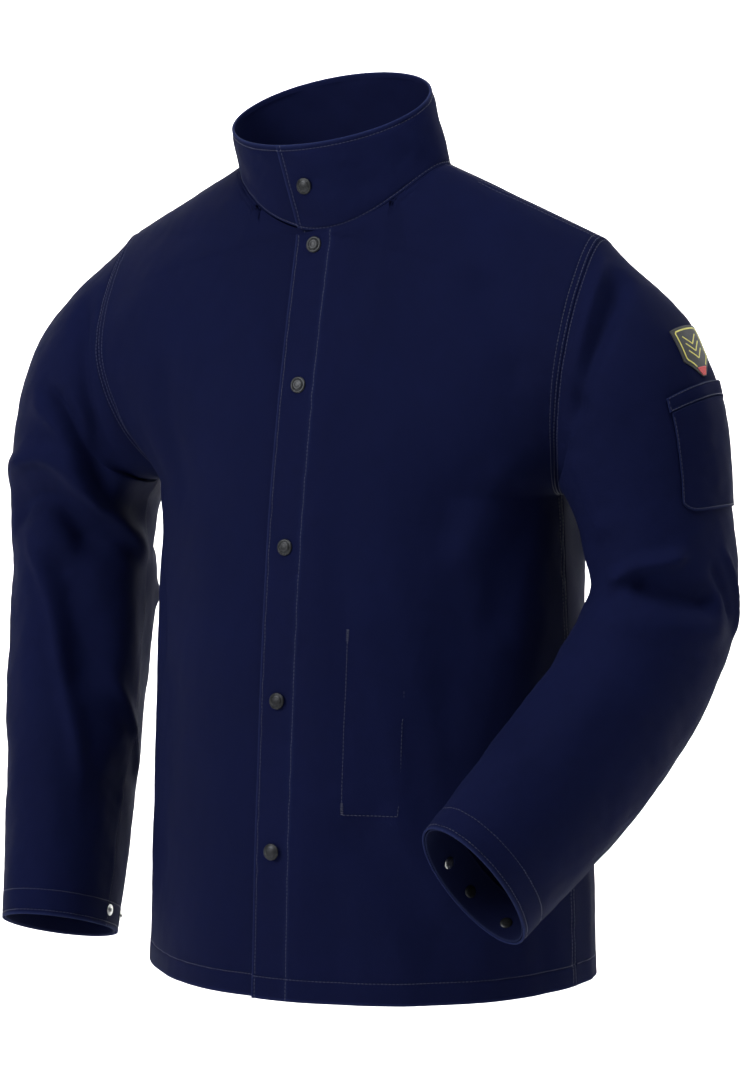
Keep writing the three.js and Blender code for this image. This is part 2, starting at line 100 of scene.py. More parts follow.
def ease(t):
    t = np.clip(t, 0, 1)
    return t * t * (3 - 2 * t)


def unit(p):
    return p / np.maximum(np.linalg.norm(p, axis=-1, keepdims=True), 1e-9)


# smooth line through evenly spaced knots, t 0 to 1
def knotLine(knots, t):
    knots = np.asarray(knots, float)
    n = len(knots) - 1
    u = np.clip(t, 0, 1) * n
    i = np.minimum(np.floor(u).astype(int), n - 1)
    f = (u - i)[..., None]
    p1, p2 = knots[i], knots[i + 1]
    p0 = np.where((i > 0)[..., None], knots[np.maximum(i - 1, 0)], 2 * p1 - p2)
    p3 = np.where((i < n - 1)[..., None], knots[np.minimum(i + 2, n)], 2 * p2 - p1)
    line = (p2 - p0) * f + (2 * p0 - 5 * p1 + 4 * p2 - p3) * f**2
    return 0.5 * (2 * p1 + line + (3 * p1 - p0 - 3 * p2 + p3) * f**3)


# smooth value at x of [position, value] pairs with the position rising
def profile(pairs, x):
    at, value = np.array(pairs, float).T
    slope = np.gradient(value, at)
    x = np.clip(x, at[0], at[-1])
    i = np.clip(np.searchsorted(at, x, side="right") - 1, 0, len(at) - 2)
    h = at[i + 1] - at[i]
    f = (x - at[i]) / h
    low = value[i] * (1 + 2 * f) * (1 - f) ** 2 + h * slope[i] * f * (1 - f) ** 2
    return low + value[i + 1] * f * f * (3 - 2 * f) + h * slope[i + 1] * f * f * (f - 1)


# value between low and high where rising(value) passes zero, for whole arrays
def crossing(rising, low, high, shape):
    a, b = np.full(shape, float(low)), np.full(shape, float(high))
    for _ in range(26):
        m = (a + b) / 2
        under = rising(m) < 0
        a, b = np.where(under, m, a), np.where(under, b, m)
    return (a + b) / 2


# ---------- the cut of the jacket ----------

cut = {
    "hem": -739.0, "armpit": -290.0, "closure": 8.0, "edge": 20.0,
    "front": [(-739, -187), (-600, -181), (-450, -169), (-300, -152), (-170, -129), (-60, -104)],
    "back": [(-739, 172), (-600, 166), (-400, 158), (-220, 142), (-100, 100), (0, 12)],
    "sideX": [(-739, 216), (-600, 213), (-450, 209), (-290, 205)],
    "sideY": [(-739, 6), (-600, 4), (-450, 2), (-290, -5)],
    "pit": (8, -104, -54), "neckSide": (106, -42, 5), "nape": (0, 14, 8),
    "frontHole": [(205, -5, -290), (226, -60, -246), (243, -84, -175), (247, -58, -104), (247, -10, -60)],
    "backHole": [(205, -5, -290), (226, 48, -244), (243, 68, -176), (247, 44, -104), (247, -10, -60)],
    "vArm": 0.6, "vFront": 13 / 15, "vBack": 14 / 15,
    "over": 4.2, "under": -2.4, "collarOver": 3.4,
}
cut["hem"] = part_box("left_front_panel")[0].z / mm


# armhole edge, t 0 at the armpit and 1 at the shoulder
def armhole(front, side, t):
    own, other = (cut["frontHole"], cut["backHole"]) if front else (cut["backHole"], cut["frontHole"])
    p = knotLine([other[1], *own, other[3]], (1 + np.clip(t, 0, 1) * 4) / 6)
    return p * (side, 1, 1)


# neckline, a quarter of an oval from the pit or the nape (t 0) to the side neck (t 1)
def neckline(front, side, t):
    c = np.array(cut["pit"] if front else cut["nape"], float)
    end = np.array(cut["neckSide"], float) * (side, 1, 1)
    a = np.asarray(t) * np.pi / 2
    rise = np.sin(a) ** 2 if front else np.asarray(t)
    return c + (end - c) * np.stack([np.sin(a), 1 - np.cos(a), rise], -1)


# body of the jacket: s 0 at the centre and 1 at the side, v 0 at the hem and 1 at the shoulder seam
def body(front, side, s, v):
    s, v = np.broadcast_arrays(np.asarray(s, float), np.asarray(v, float))
    vArm, vNeck = cut["vArm"], cut["vFront"] if front else cut["vBack"]
    centre = np.array(cut["pit"] if front else cut["nape"], float)
    depth = lambda z: profile(cut["front"] if front else cut["back"], z)
    low = np.clip(v / vArm, 0, 1)
    up = np.clip((v - vArm) / (vNeck - vArm), 0, 1)
    zs = cut["hem"] + (cut["armpit"] - cut["hem"]) * low
    zc = zs + (centre[2] - cut["armpit"]) * up
    left = np.stack([np.full_like(zc, centre[0]), depth(zc), zc], -1)
    onNeck = neckline(front, side, np.clip((v - vNeck) / (1 - vNeck), 0, 1))
    left = np.where((v > vNeck)[..., None], onNeck, left)
    right = np.stack([side * profile(cut["sideX"], zs), profile(cut["sideY"], zs), zs], -1)
    right = np.where((v > vArm)[..., None], armhole(front, side, (v - vArm) / (1 - vArm)), right)
    k = ease((v - vArm) / (1 - vArm))
    a = s * np.pi / 2
    fx = np.sin(a) * (1 - k) + s * k
    fade = 1 - ease((v - vNeck) / (1 - vNeck))
    soft = 0.2 * fade
    even = (np.hypot(s, soft) - soft) / (np.hypot(1, soft) - soft)
    fy = (1 - np.cos(a)) * (1 - k) + even * k
    fz = s * s * (1 - k) + np.abs(s) * k
    z = left[..., 2] + (right[..., 2] - left[..., 2]) * fz
    chord = depth(left[..., 2]) * (1 - fy) + depth(right[..., 2]) * fy
    y = left[..., 1] + (right[..., 1] - left[..., 1]) * fy + (depth(z) - chord) * fade
    return np.stack([left[..., 0] + (right[..., 0] - left[..., 0]) * fx, y, z], -1)


# collar: s 0 at the closure and 1 at the centre back, h 0 at the neck seam and 1 at the rim
def collar(side, s, h):
    s, h = np.broadcast_arrays(np.asarray(s, float), np.asarray(h, float))
    base = np.where((s < 0.5)[..., None], neckline(True, side, s * 2), neckline(False, side, 2 - 2 * s))
    x, y = side * 99 * np.sin(np.pi * s), -62 * np.cos(np.pi * s)
    rim = np.stack([x - 10, y - 50, 56 + 0.54 * y + 0.06 * x], -1)
    return base + (rim - base) * h[..., None]


arms = {
    "left": {
        "side": 1, "split": 0.42,
        "line": [(226, -8, -175), (270, -6, -208), (294, 0, -300), (306, -10, -392),
                 (289, -66, -474), (260, -142, -546), (228, -214, -613)],
        "wide": [76, 84, 84, 84, 84, 81, 76], "thick": [116, 92, 66, 62, 60, 57, 50],
    },
    "right": {
        "side": -1, "split": 0.40,
        "line": [(-226, -8, -175), (-284, -4, -214), (-317, 4, -302), (-323, 10, -408),
                 (-325, -2, -512), (-317, -28, -617), (-306, -62, -722)],
        "wide": [76, 84, 84, 82, 80, 76, 70], "thick": [116, 92, 68, 62, 58, 54, 48],
    },
}


# sleeve: th 0 outside, pi/2 in front, pi under the arm; u 0 at the armhole and 1 at the cuff
def sleeve(arm, th, u):
    th, u = np.broadcast_arrays(np.asarray(th, float), np.asarray(u, float))
    side, line = arm["side"], np.array(arm["line"], float)
    wide, thick = np.array(arm["wide"], float)[:, None], np.array(arm["thick"], float)[:, None]
    run = unit(knotLine(line, u + 0.05) - knotLine(line, u - 0.05))
    ref = np.array([side, 0.0, 0.0])
    out = unit(ref - (run @ ref)[..., None] * run)
    fore = np.cross(out, run) * -side
    k = (1 - ease(u / 0.36))[..., None]
    top = unit(np.array([side * 0.18, 0, 0.98]))
    ahead = np.array([0, -1.0, 0])
    out = unit(out + (top - out) * k)
    fore = unit(fore + (ahead - fore) * k)
    c, s = np.cos(th)[..., None], np.sin(th)[..., None]
    p = knotLine(line, u) + out * c * knotLine(thick, u) + fore * s * knotLine(wide, u)
    turn = np.mod(th, 2 * np.pi)
    before = turn <= np.pi
    t = np.abs(1 - turn / np.pi)
    ring = np.where(before[..., None], armhole(True, side, t), armhole(False, side, t))
    flat = line[0] + top * c * thick[0] + ahead * s * wide[0]
    return p + (ring - flat) * (np.clip(1 - u / 0.25, 0, 1) ** 2)[..., None]


# outward normals of a grid of points; turn is the sign of columns x rows
def gridNormals(p, turn, closed=False):
    if closed:
        q = np.concatenate([p[:, -2:-1], p, p[:, 1:2]], 1)
        across = q[:, 2:] - q[:, :-2]
    else:
        across = np.gradient(p, axis=1)
    return unit(np.cross(across, np.gradient(p, axis=0))) * turn


def along(p, axis):
    step = np.linalg.norm(np.diff(p, axis=axis), axis=-1)
    zero = np.zeros_like(np.take(step, [0], axis=axis))
    return np.concatenate([zero, np.cumsum(step, axis=axis)], axis=axis)


# distance of points from a line of points
def distanceTo(p, line):
    best = np.full(p.shape[:-1], 1e9)
    for a, d in zip(line[:-1], np.diff(line, axis=0)):
        t = np.clip(((p - a) @ d) / max(d @ d, 1e-9), 0, 1)
        best = np.minimum(best, np.linalg.norm(p - (a + t[..., None] * d), axis=-1))
    return best


# soft unevenness: a sum of seeded plane waves, longer along the given stretch
def ripple(p, seed, wave, size, stretch=(1, 1, 1), count=24):
    rng = np.random.default_rng(seed)
    way = unit(rng.normal(size=(count, 3))) / np.array(stretch)
    length = wave * rng.uniform(0.6, 1.6, count)
    phase = rng.uniform(0, 2 * np.pi, count)
    total = np.zeros(p.shape[:-1])
    for d, w, f in zip(way, length, phase):
        total += np.sin(p @ d * (2 * np.pi / w) + f)
    return total * size / math.sqrt(count / 2)


# raised or sunk crease along a line of points: a bell across it, w0 wide on one side and w1 on the other
def crease(p, n, points, height, w0, w1=None, fade=0.25, sharp=2.0):
    points = np.asarray(points, float)
    w1 = w0 if w1 is None else w1
    best = np.full(p.shape[:-1], 1e9)
    sign = np.ones_like(best)
    where = np.zeros_like(best)
    length = np.r_[0, np.cumsum(np.linalg.norm(np.diff(points, axis=0), axis=1))]
    for i in range(len(points) - 1):
        a, d = points[i], points[i + 1] - points[i]
        t = np.clip(((p - a) @ d) / (d @ d), 0, 1)
        off = p - (a + t[..., None] * d)
        dist = np.linalg.norm(off, axis=-1)
        closer = dist < best
        best = np.where(closer, dist, best)
        sign = np.where(closer, np.sign(np.sum(np.cross(off, d) * n, -1)), sign)
        where = np.where(closer, length[i] + t * (length[i + 1] - length[i]), where)
    w = np.where(sign > 0, w0, w1)
    bell = np.exp(-((best / w) ** sharp))
    t = where / length[-1]
    return height * bell * ease((t + 1e-3) / fade) * ease((1 - t + 1e-3) / fade)


# line through knots, as points for crease()
def through(knots, count=24):
    return knotLine(knots, np.linspace(0, 1, count))


# ---------- meshes ----------

def meshObject(name, points, faces, uv=None, wear=None):
    mesh = bpy.data.meshes.new(name)
    mesh.from_pydata((np.asarray(points) * mm).tolist(), [], [list(map(int, f)) for f in faces])
    if uv is not None:
        layer = mesh.uv_layers.new(name="cloth")
        layer.data.foreach_set("uv", (np.asarray(uv) * mm).astype(np.float32).ravel())
    if wear is not None:
        mesh.attributes.new("wear", "FLOAT", "POINT").data.foreach_set("value", wear.astype(np.float32).ravel())
    mesh.shade_smooth()
    mesh.set_sharp_from_angle(angle=math.radians(50))
    mesh.update()
    made = bpy.data.objects.new(name, mesh)
    scene.collection.objects.link(made)
    return made


# closed cloth shell from an outer and an inner grid of points; the last column of a closed grid is its first
def shell(name, outer, inner, normal, wear=None, closed=False):
    rows, cols = outer.shape[:2]
    uv = np.stack([along(outer, 1).mean(0)[None, :] + 0 * outer[..., 0], along(outer, 0)], -1)
    keep = cols - 1 if closed else cols
    points = np.concatenate([outer[:, :keep].reshape(-1, 3), inner[:, :keep].reshape(-1, 3)])
    half = rows * keep
    j, i = np.meshgrid(np.arange(rows - 1), np.arange(cols - 1), indexing="ij")
    j, i = j.ravel(), i.ravel()
    corner = lambda dj, di: (j + dj) * keep + (i + di) % keep
    uvAt = lambda dj, di: uv[j + dj, i + di]
    quads = np.stack([corner(0, 0), corner(0, 1), corner(1, 1), corner(1, 0)], 1)
    quadUv = np.stack([uvAt(0, 0), uvAt(0, 1), uvAt(1, 1), uvAt(1, 0)], 1)
    a, b, c = (points[quads[:, k]] for k in range(3))
    facing = np.sum(np.cross(b - a, c - b) * normal[:-1, :-1].reshape(-1, 3), -1).sum()
    if facing < 0:
        quads, quadUv = quads[:, ::-1], quadUv[:, ::-1]
    faces, faceUv = [quads, quads[:, ::-1] + half], [quadUv, quadUv[:, ::-1]]

    def rim(idA, uvA):
        strip = np.stack([idA[:-1], idA[1:], idA[1:] + half, idA[:-1] + half], 1)
        stripUv = np.stack([uvA[:-1], uvA[1:], uvA[1:], uvA[:-1]], 1)
        faces.append(strip if facing < 0 else strip[:, ::-1])
        faceUv.append(stripUv if facing < 0 else stripUv[:, ::-1])

    ids = np.arange(rows)[:, None] * keep + np.arange(cols)[None, :] % keep
    rim(ids[0][::-1], uv[0][::-1])
    rim(ids[-1], uv[-1])
    if not closed:
        rim(ids[:, 0], uv[:, 0])
        rim(ids[:, -1][::-1], uv[:, -1][::-1])
    if wear is not None:
        wear = np.concatenate([wear[:, :keep].ravel()] * 2)
    return meshObject(name, points, np.concatenate(faces), np.concatenate(faceUv).reshape(-1, 2), wear)


# rounds a cloth edge: how far the outer face drops and the inner face rises at distance d
def rolled(d, r):
    x = np.clip(1 - d / r, 0, 1)
    return r * (1 - np.sqrt(np.maximum(1 - x * x, 0)))


def groove(d, depth=0.55, width=1.0):
    return -depth * np.exp(-((d / width) ** 2))


# short capsules of thread laid along lines of points, all in one mesh
threads = {"pitch": 3.5, "length": 2.5, "radius": 0.34, "sink": 0.10}


def stitchMesh(name, runs, pitch=None, radius=None):
    pitch, radius = pitch or threads["pitch"], radius or threads["radius"]
    ring = np.arange(5) * 2 * np.pi / 5
    stations = [(-0.5, 0.35), (-0.32, 1.0), (0.32, 1.0), (0.5, 0.35)]
    shape = np.array([(x * threads["length"] * pitch / threads["pitch"], k * math.cos(a) * radius,
                       k * math.sin(a) * radius * 0.8) for x, k in stations for a in ring])
    quads = [(r * 5 + c, r * 5 + (c + 1) % 5, r * 5 + 5 + (c + 1) % 5, r * 5 + 5 + c)
             for r in range(3) for c in range(5)]
    ends = [(4, 3, 2, 1, 0), (15, 16, 17, 18, 19)]
    centres, ways, ups = [], [], []
    for line, normal in runs:
        step = np.r_[0, np.cumsum(np.linalg.norm(np.diff(line, axis=0), axis=1))]
        count = int(step[-1] / pitch)
        if count < 1:
            continue
        at = (np.arange(count) + 0.5) * step[-1] / count
        pick = lambda q, x: np.stack([np.interp(x, step, q[:, k]) for k in range(3)], -1)
        up = unit(pick(normal, at))
        centres.append(pick(line, at) + up * (radius * 0.5 - threads["sink"]))
        ways.append(unit(pick(line, at + 0.6) - pick(line, at - 0.6)))
        ups.append(up)
    centre, way, up = (np.concatenate(x) for x in (centres, ways, ups))
    across = unit(np.cross(up, way))
    up = np.cross(way, across)
    points = (centre[:, None] + way[:, None] * shape[None, :, :1]
              + across[:, None] * shape[None, :, 1:2] + up[:, None] * shape[None, :, 2:])
    base = (np.arange(len(centre)) * len(shape))[:, None, None]
    faces = (np.array(quads)[None] + base).reshape(-1, 4).tolist()
    faces += (np.array(ends)[None] + base).reshape(-1, 5).tolist()
    return meshObject(name, points.reshape(-1, 3), faces)


# turned piece: [radius, height] pairs from the outer end of the axis round to its inner end
def turned(name, place, pairs, segments=40):
    p, n = place
    pairs = np.array(pairs, float)
    n = unit(n)
    x = unit(np.cross(n, (0.3, 0.2, 1.0)))
    y = np.cross(n, x)
    a = np.arange(segments) * 2 * np.pi / segments
    around = x * np.cos(a)[:, None] + y * np.sin(a)[:, None]
    points = p + around[None] * pairs[:, :1, None] + n * pairs[:, 1:, None]
    rows = len(pairs)
    j, i = (k.ravel() for k in np.meshgrid(np.arange(rows - 1), np.arange(segments), indexing="ij"))
    k = (i + 1) % segments
    faces = np.stack([j * segments + i, (j + 1) * segments + i, (j + 1) * segments + k, j * segments + k], 1)
    points = points.reshape(-1, 3)
    faces = faces.tolist()
    if pairs[0, 0] > 0 and np.allclose(pairs[0], pairs[-1]):
        made = meshObject(name, points, faces)
    else:
        faces += [list(range(segments)), list(range(rows * segments - 1, (rows - 1) * segments - 1, -1))]
        made = meshObject(name, points, faces)
    work = bmesh.new()
    work.from_mesh(made.data)
    bmesh.ops.remove_doubles(work, verts=work.verts, dist=1e-6)
    bmesh.ops.recalc_face_normals(work, faces=work.faces)
    work.to_mesh(made.data)
    work.free()
    made.data.shade_smooth()
    made.data.set_sharp_from_angle(angle=math.radians(38))
    return made



# ---------- materials ----------

def addNode(tree, kind, values=None, **settings):
    made = tree.nodes.new(kind)
    for key, value in settings.items():
        setattr(made, key, value)
    for key, value in (values or {}).items():
        if isinstance(value, bpy.types.NodeSocket):
            tree.links.new(value, made.inputs[key])
        else:
            made.inputs[key].default_value = value
    return made


def mathNode(tree, operation, *values):
    return addNode(tree, "ShaderNodeMath", dict(enumerate(values)), operation=operation).outputs[0]


def effectGroup(name, inputs, outputs, build):
    tree = bpy.data.node_groups.new(name, "ShaderNodeTree")
    for label, kind, value in inputs:
        socket = tree.interface.new_socket(label, in_out="INPUT", socket_type=kind)
        if value is not None:
            socket.default_value = value
    for label, kind in outputs:
        tree.interface.new_socket(label, in_out="OUTPUT", socket_type=kind)
    start, end = tree.nodes.new("NodeGroupInput"), tree.nodes.new("NodeGroupOutput")
    for label, socket in build(tree, start.outputs).items():
        tree.links.new(socket, end.inputs[label])
    return tree


def noise(tree, vector, scale, detail=3.0, rough=0.55):
    return addNode(tree, "ShaderNodeTexNoise",
                   {"Vector": vector, "Scale": scale, "Detail": detail, "Roughness": rough}).outputs["Fac"]


# diagonal ribs of a twill, one per pitch, broken up by uneven threads
def buildTwill(tree, given):
    parts = addNode(tree, "ShaderNodeSeparateXYZ", {0: given["Vector"]}).outputs
    turn = mathNode(tree, "DIVIDE", 2 * math.pi, given["Pitch"])
    drift = mathNode(tree, "MULTIPLY", noise(tree, given["Vector"], 260.0, 2.0), 5.0)
    rib = mathNode(tree, "ADD", parts["X"], mathNode(tree, "MULTIPLY", parts["Y"], 0.8))
    rib = mathNode(tree, "SINE", mathNode(tree, "ADD", mathNode(tree, "MULTIPLY", rib, turn), drift))
    weft = mathNode(tree, "SINE", mathNode(tree, "MULTIPLY", parts["Y"], mathNode(tree, "MULTIPLY", turn, 1.7)))
    slub = noise(tree, given["Vector"], 900.0, 2.0, 0.6)
    height = mathNode(tree, "ADD", mathNode(tree, "MULTIPLY", rib, 0.6), mathNode(tree, "MULTIPLY", weft, 0.25))
    height = mathNode(tree, "ADD", height, mathNode(tree, "MULTIPLY", slub, 1.1))
    tone = mathNode(tree, "MULTIPLY_ADD", height, 0.25, 0.45)
    return {"Height": height, "Tone": tone}


# cloudy handling marks and a faint fine speckle, 0 to 1
def buildCloud(tree, given):
    wide = noise(tree, given["Vector"], given["Scale"], 2.0, 0.5)
    fine = noise(tree, given["Vector"], mathNode(tree, "MULTIPLY", given["Scale"], 11.0), 3.0, 0.65)
    both = mathNode(tree, "ADD", mathNode(tree, "MULTIPLY", wide, 0.65), mathNode(tree, "MULTIPLY", fine, 0.35))
    spread = addNode(tree, "ShaderNodeMapRange", {"Value": both, "From Min": 0.32, "From Max": 0.68})
    return {"Tone": spread.outputs[0]}


# rubbed edges: the wear value broken up by a small noise
def buildRub(tree, given):
    grain = noise(tree, given["Vector"], given["Scale"], 4.0, 0.7)
    lifted = mathNode(tree, "MULTIPLY", given["Wear"], mathNode(tree, "MULTIPLY_ADD", grain, 1.3, 0.3))
    return {"Mask": addNode(tree, "ShaderNodeClamp", {0: lifted}).outputs[0]}


vectorIn = ("Vector", "NodeSocketVector", None)
twillGroup = effectGroup("twill weave", [vectorIn, ("Pitch", "NodeSocketFloat", 0.0011)],
                         [("Height", "NodeSocketFloat"), ("Tone", "NodeSocketFloat")], buildTwill)
cloudGroup = effectGroup("cloudy tone", [vectorIn, ("Scale", "NodeSocketFloat", 9.0)],
                         [("Tone", "NodeSocketFloat")], buildCloud)
rubGroup = effectGroup("rubbed edge", [vectorIn, ("Scale", "NodeSocketFloat", 300.0), ("Wear", "NodeSocketFloat", 0.0)],
                       [("Mask", "NodeSocketFloat")], buildRub)


def useGroup(tree, group, values):
    made = addNode(tree, "ShaderNodeGroup", values={}, node_tree=group)
    for key, value in values.items():
        if isinstance(value, bpy.types.NodeSocket):
            tree.links.new(value, made.inputs[key])
        else:
            made.inputs[key].default_value = value
    return made.outputs


def blankMaterial(name):
    made = bpy.data.materials.new(name)
    made.use_nodes = True
    tree = made.node_tree
    shader = tree.nodes["Principled BSDF"]
    return made, tree, shader


def mixColour(tree, factor, a, b):
    made = addNode(tree, "ShaderNodeMix", None, data_type="RGBA")
    for key, value in ((0, factor), (6, a), (7, b)):
        if isinstance(value, bpy.types.NodeSocket):
            tree.links.new(value, made.inputs[key])
        else:
            made.inputs[key].default_value = value
    return made.outputs[2]


# woven cotton: dark and light tones of the dye, rib pitch, rub colour
def clothMaterial(name, dark, light, rub, pitch=0.0011, bump=0.35, sheen=0.25):
    made, tree, shader = blankMaterial(name)
    coords = addNode(tree, "ShaderNodeTexCoord").outputs
    twill = useGroup(tree, twillGroup, {"Vector": coords["UV"], "Pitch": pitch})
    cloud = useGroup(tree, cloudGroup, {"Vector": coords["Object"], "Scale": 8.0})
    wear = addNode(tree, "ShaderNodeAttribute", None, attribute_name="wear").outputs["Fac"]
    rubbed = useGroup(tree, rubGroup, {"Vector": coords["Object"], "Scale": 420.0, "Wear": wear})
    tone = mathNode(tree, "ADD", mathNode(tree, "MULTIPLY", twill["Tone"], 0.55),
                    mathNode(tree, "MULTIPLY", cloud["Tone"], 0.45))
    colour = mixColour(tree, tone, (*dark, 1), (*light, 1))
    colour = mixColour(tree, rubbed["Mask"], colour, (*rub, 1))
    tree.links.new(colour, shader.inputs["Base Color"])
    rough = mathNode(tree, "MULTIPLY_ADD", cloud["Tone"], 0.10, 0.74)
    tree.links.new(rough, shader.inputs["Roughness"])
    raised = addNode(tree, "ShaderNodeBump", {"Height": twill["Height"], "Strength": bump, "Distance": 0.00025})
    tree.links.new(raised.outputs[0], shader.inputs["Normal"])
    shader.inputs["Sheen Weight"].default_value = sheen
    shader.inputs["Sheen Roughness"].default_value = 0.45
    shader.inputs["Sheen Tint"].default_value = (0.30, 0.40, 0.85, 1)
    shader.inputs["Specular IOR Level"].default_value = 0.04
    return made


# metal: base tone, rubbed tone, roughness
def metalMaterial(name, tone, bare, rough, metallic):
    made, tree, shader = blankMaterial(name)
    coords = addNode(tree, "ShaderNodeTexCoord").outputs
    cloud = useGroup(tree, cloudGroup, {"Vector": coords["Object"], "Scale": 160.0})
    grain = useGroup(tree, cloudGroup, {"Vector": coords["Object"], "Scale": 900.0})
    tree.links.new(mixColour(tree, cloud["Tone"], (*tone, 1), (*bare, 1)), shader.inputs["Base Color"])
    tree.links.new(mathNode(tree, "MULTIPLY_ADD", grain["Tone"], 0.14, rough), shader.inputs["Roughness"])
    raised = addNode(tree, "ShaderNodeBump", {"Height": grain["Tone"], "Strength": 0.12, "Distance": 0.0001})
    tree.links.new(raised.outputs[0], shader.inputs["Normal"])
    shader.inputs["Metallic"].default_value = metallic
    return made


# sewing thread and embroidery: fine twist along the piece
def threadMaterial(name, dark, light, rough=0.6, sheen=0.2):
    made, tree, shader = blankMaterial(name)
    coords = addNode(tree, "ShaderNodeTexCoord").outputs
    cloud = useGroup(tree, cloudGroup, {"Vector": coords["Object"], "Scale": 700.0})
    tree.links.new(mixColour(tree, cloud["Tone"], (*dark, 1), (*light, 1)), shader.inputs["Base Color"])
    raised = addNode(tree, "ShaderNodeBump", {"Height": cloud["Tone"], "Strength": 0.3, "Distance": 0.0002})
    tree.links.new(raised.outputs[0], shader.inputs["Normal"])
    tree.links.new(mathNode(tree, "MULTIPLY_ADD", cloud["Tone"], 0.12, rough - 0.06), shader.inputs["Roughness"])
    shader.inputs["Sheen Weight"].default_value = sheen
    return made


navyCloth = clothMaterial("navy twill", (0.0022, 0.0035, 0.020), (0.0044, 0.0066, 0.034), (0.012, 0.017, 0.060),
                          sheen=0.01)
liningCloth = clothMaterial("navy facing", (0.0024, 0.0036, 0.018), (0.0046, 0.0066, 0.030), (0.012, 0.016, 0.050),
                            pitch=0.0009, bump=0.25, sheen=0.03)
navyThread = threadMaterial("navy thread", (0.0038, 0.0058, 0.028), (0.0090, 0.0130, 0.054))
gunMetal = metalMaterial("blackened metal", (0.012, 0.0125, 0.014), (0.042, 0.044, 0.048), 0.34, 0.85)
brightMetal = metalMaterial("bright metal", (0.42, 0.42, 0.40), (0.62, 0.62, 0.60), 0.24, 1.0)
blackPatch = threadMaterial("black embroidery", (0.006, 0.006, 0.007), (0.016, 0.016, 0.018), 0.7)
yellowThread = threadMaterial("yellow embroidery", (0.55, 0.48, 0.05), (0.80, 0.74, 0.16), 0.55)
redThread = threadMaterial("red embroidery", (0.42, 0.008, 0.012), (0.72, 0.03, 0.03), 0.55)
print("materials made")


def finished(piece, material):
    piece.data.materials.clear()
    piece.data.materials.append(material)
    return piece


# ---------- joints, and planes across them --------------

joints = {j["name"]: j for j in frame["joints"]}


# planes across a joint: the joint's parent and child bodies, with a start point before it and an end point after it
def slab(joint, way, before, after):
    at = np.array(joints[joint]["pos_m"], float)
    axis = unit(np.array(joints[joint]["axis"], float))
    way = np.array(way, float)
    way = unit(way - (way @ axis) * axis)
    return dict(a=joints[joint]["parent"], b=joints[joint]["child"],
                start=tuple(at - way * before * mm), end=tuple(at + way * after * mm))


leftFold = slab("left_front_open", (-1, 0, 0), 10, 32)
rightFold = slab("right_front_open", (1, 0, 0), 10, 32)


def bent(piece):
    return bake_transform(piece)


# positions from low to high about a step apart, closer together round the given spots
def refined(low, high, step, spots=(), offsets=(0, 0.7, 1.5, 2.6)):
    even = np.linspace(low, high, max(2, int(round((high - low) / step)) + 1))
    near = np.array([s + k * o for s in spots for o in offsets for k in (-1, 1)]) if len(spots) else np.zeros(0)
    near = near[(near >= low) & (near <= high)]
    if len(near):
        even = np.array([x for x in even if np.abs(near - x).min() > step * 0.45 or x in (low, high)])
    both = np.unique(np.round(np.concatenate([even, near]), 3))
    keep = [both[0]]
    for x in both[1:]:
        if x - keep[-1] > 0.15:
            keep.append(x)
    return np.array(keep)


# point of a grid at a given distance, interpolated along one axis for every line of the other
def lineAt(outer, normal, dist, d, axis=1):
    if axis == 0:
        outer, normal, dist = outer.swapaxes(0, 1), normal.swapaxes(0, 1), dist.swapaxes(0, 1)
    line, up = [], []
    for p, n, x in zip(outer, normal, dist):
        order = np.argsort(x)
        if not x.min() <= d <= x.max():
            continue
        line.append([np.interp(d, x[order], p[order, k]) for k in range(3)])
        up.append([np.interp(d, x[order], n[order, k]) for k in range(3)])
    return np.array(line), unit(np.array(up))


# ---------- fronts ----------

fronts = {
    "wall": 1.3, "placketStitch": 35, "edgeStitch": 3.2, "hemStitch": 20, "pocketLine": 62,
    "seamBand": 8.5, "step": 3.3, "rows": 3.4, "columns": 76,
}


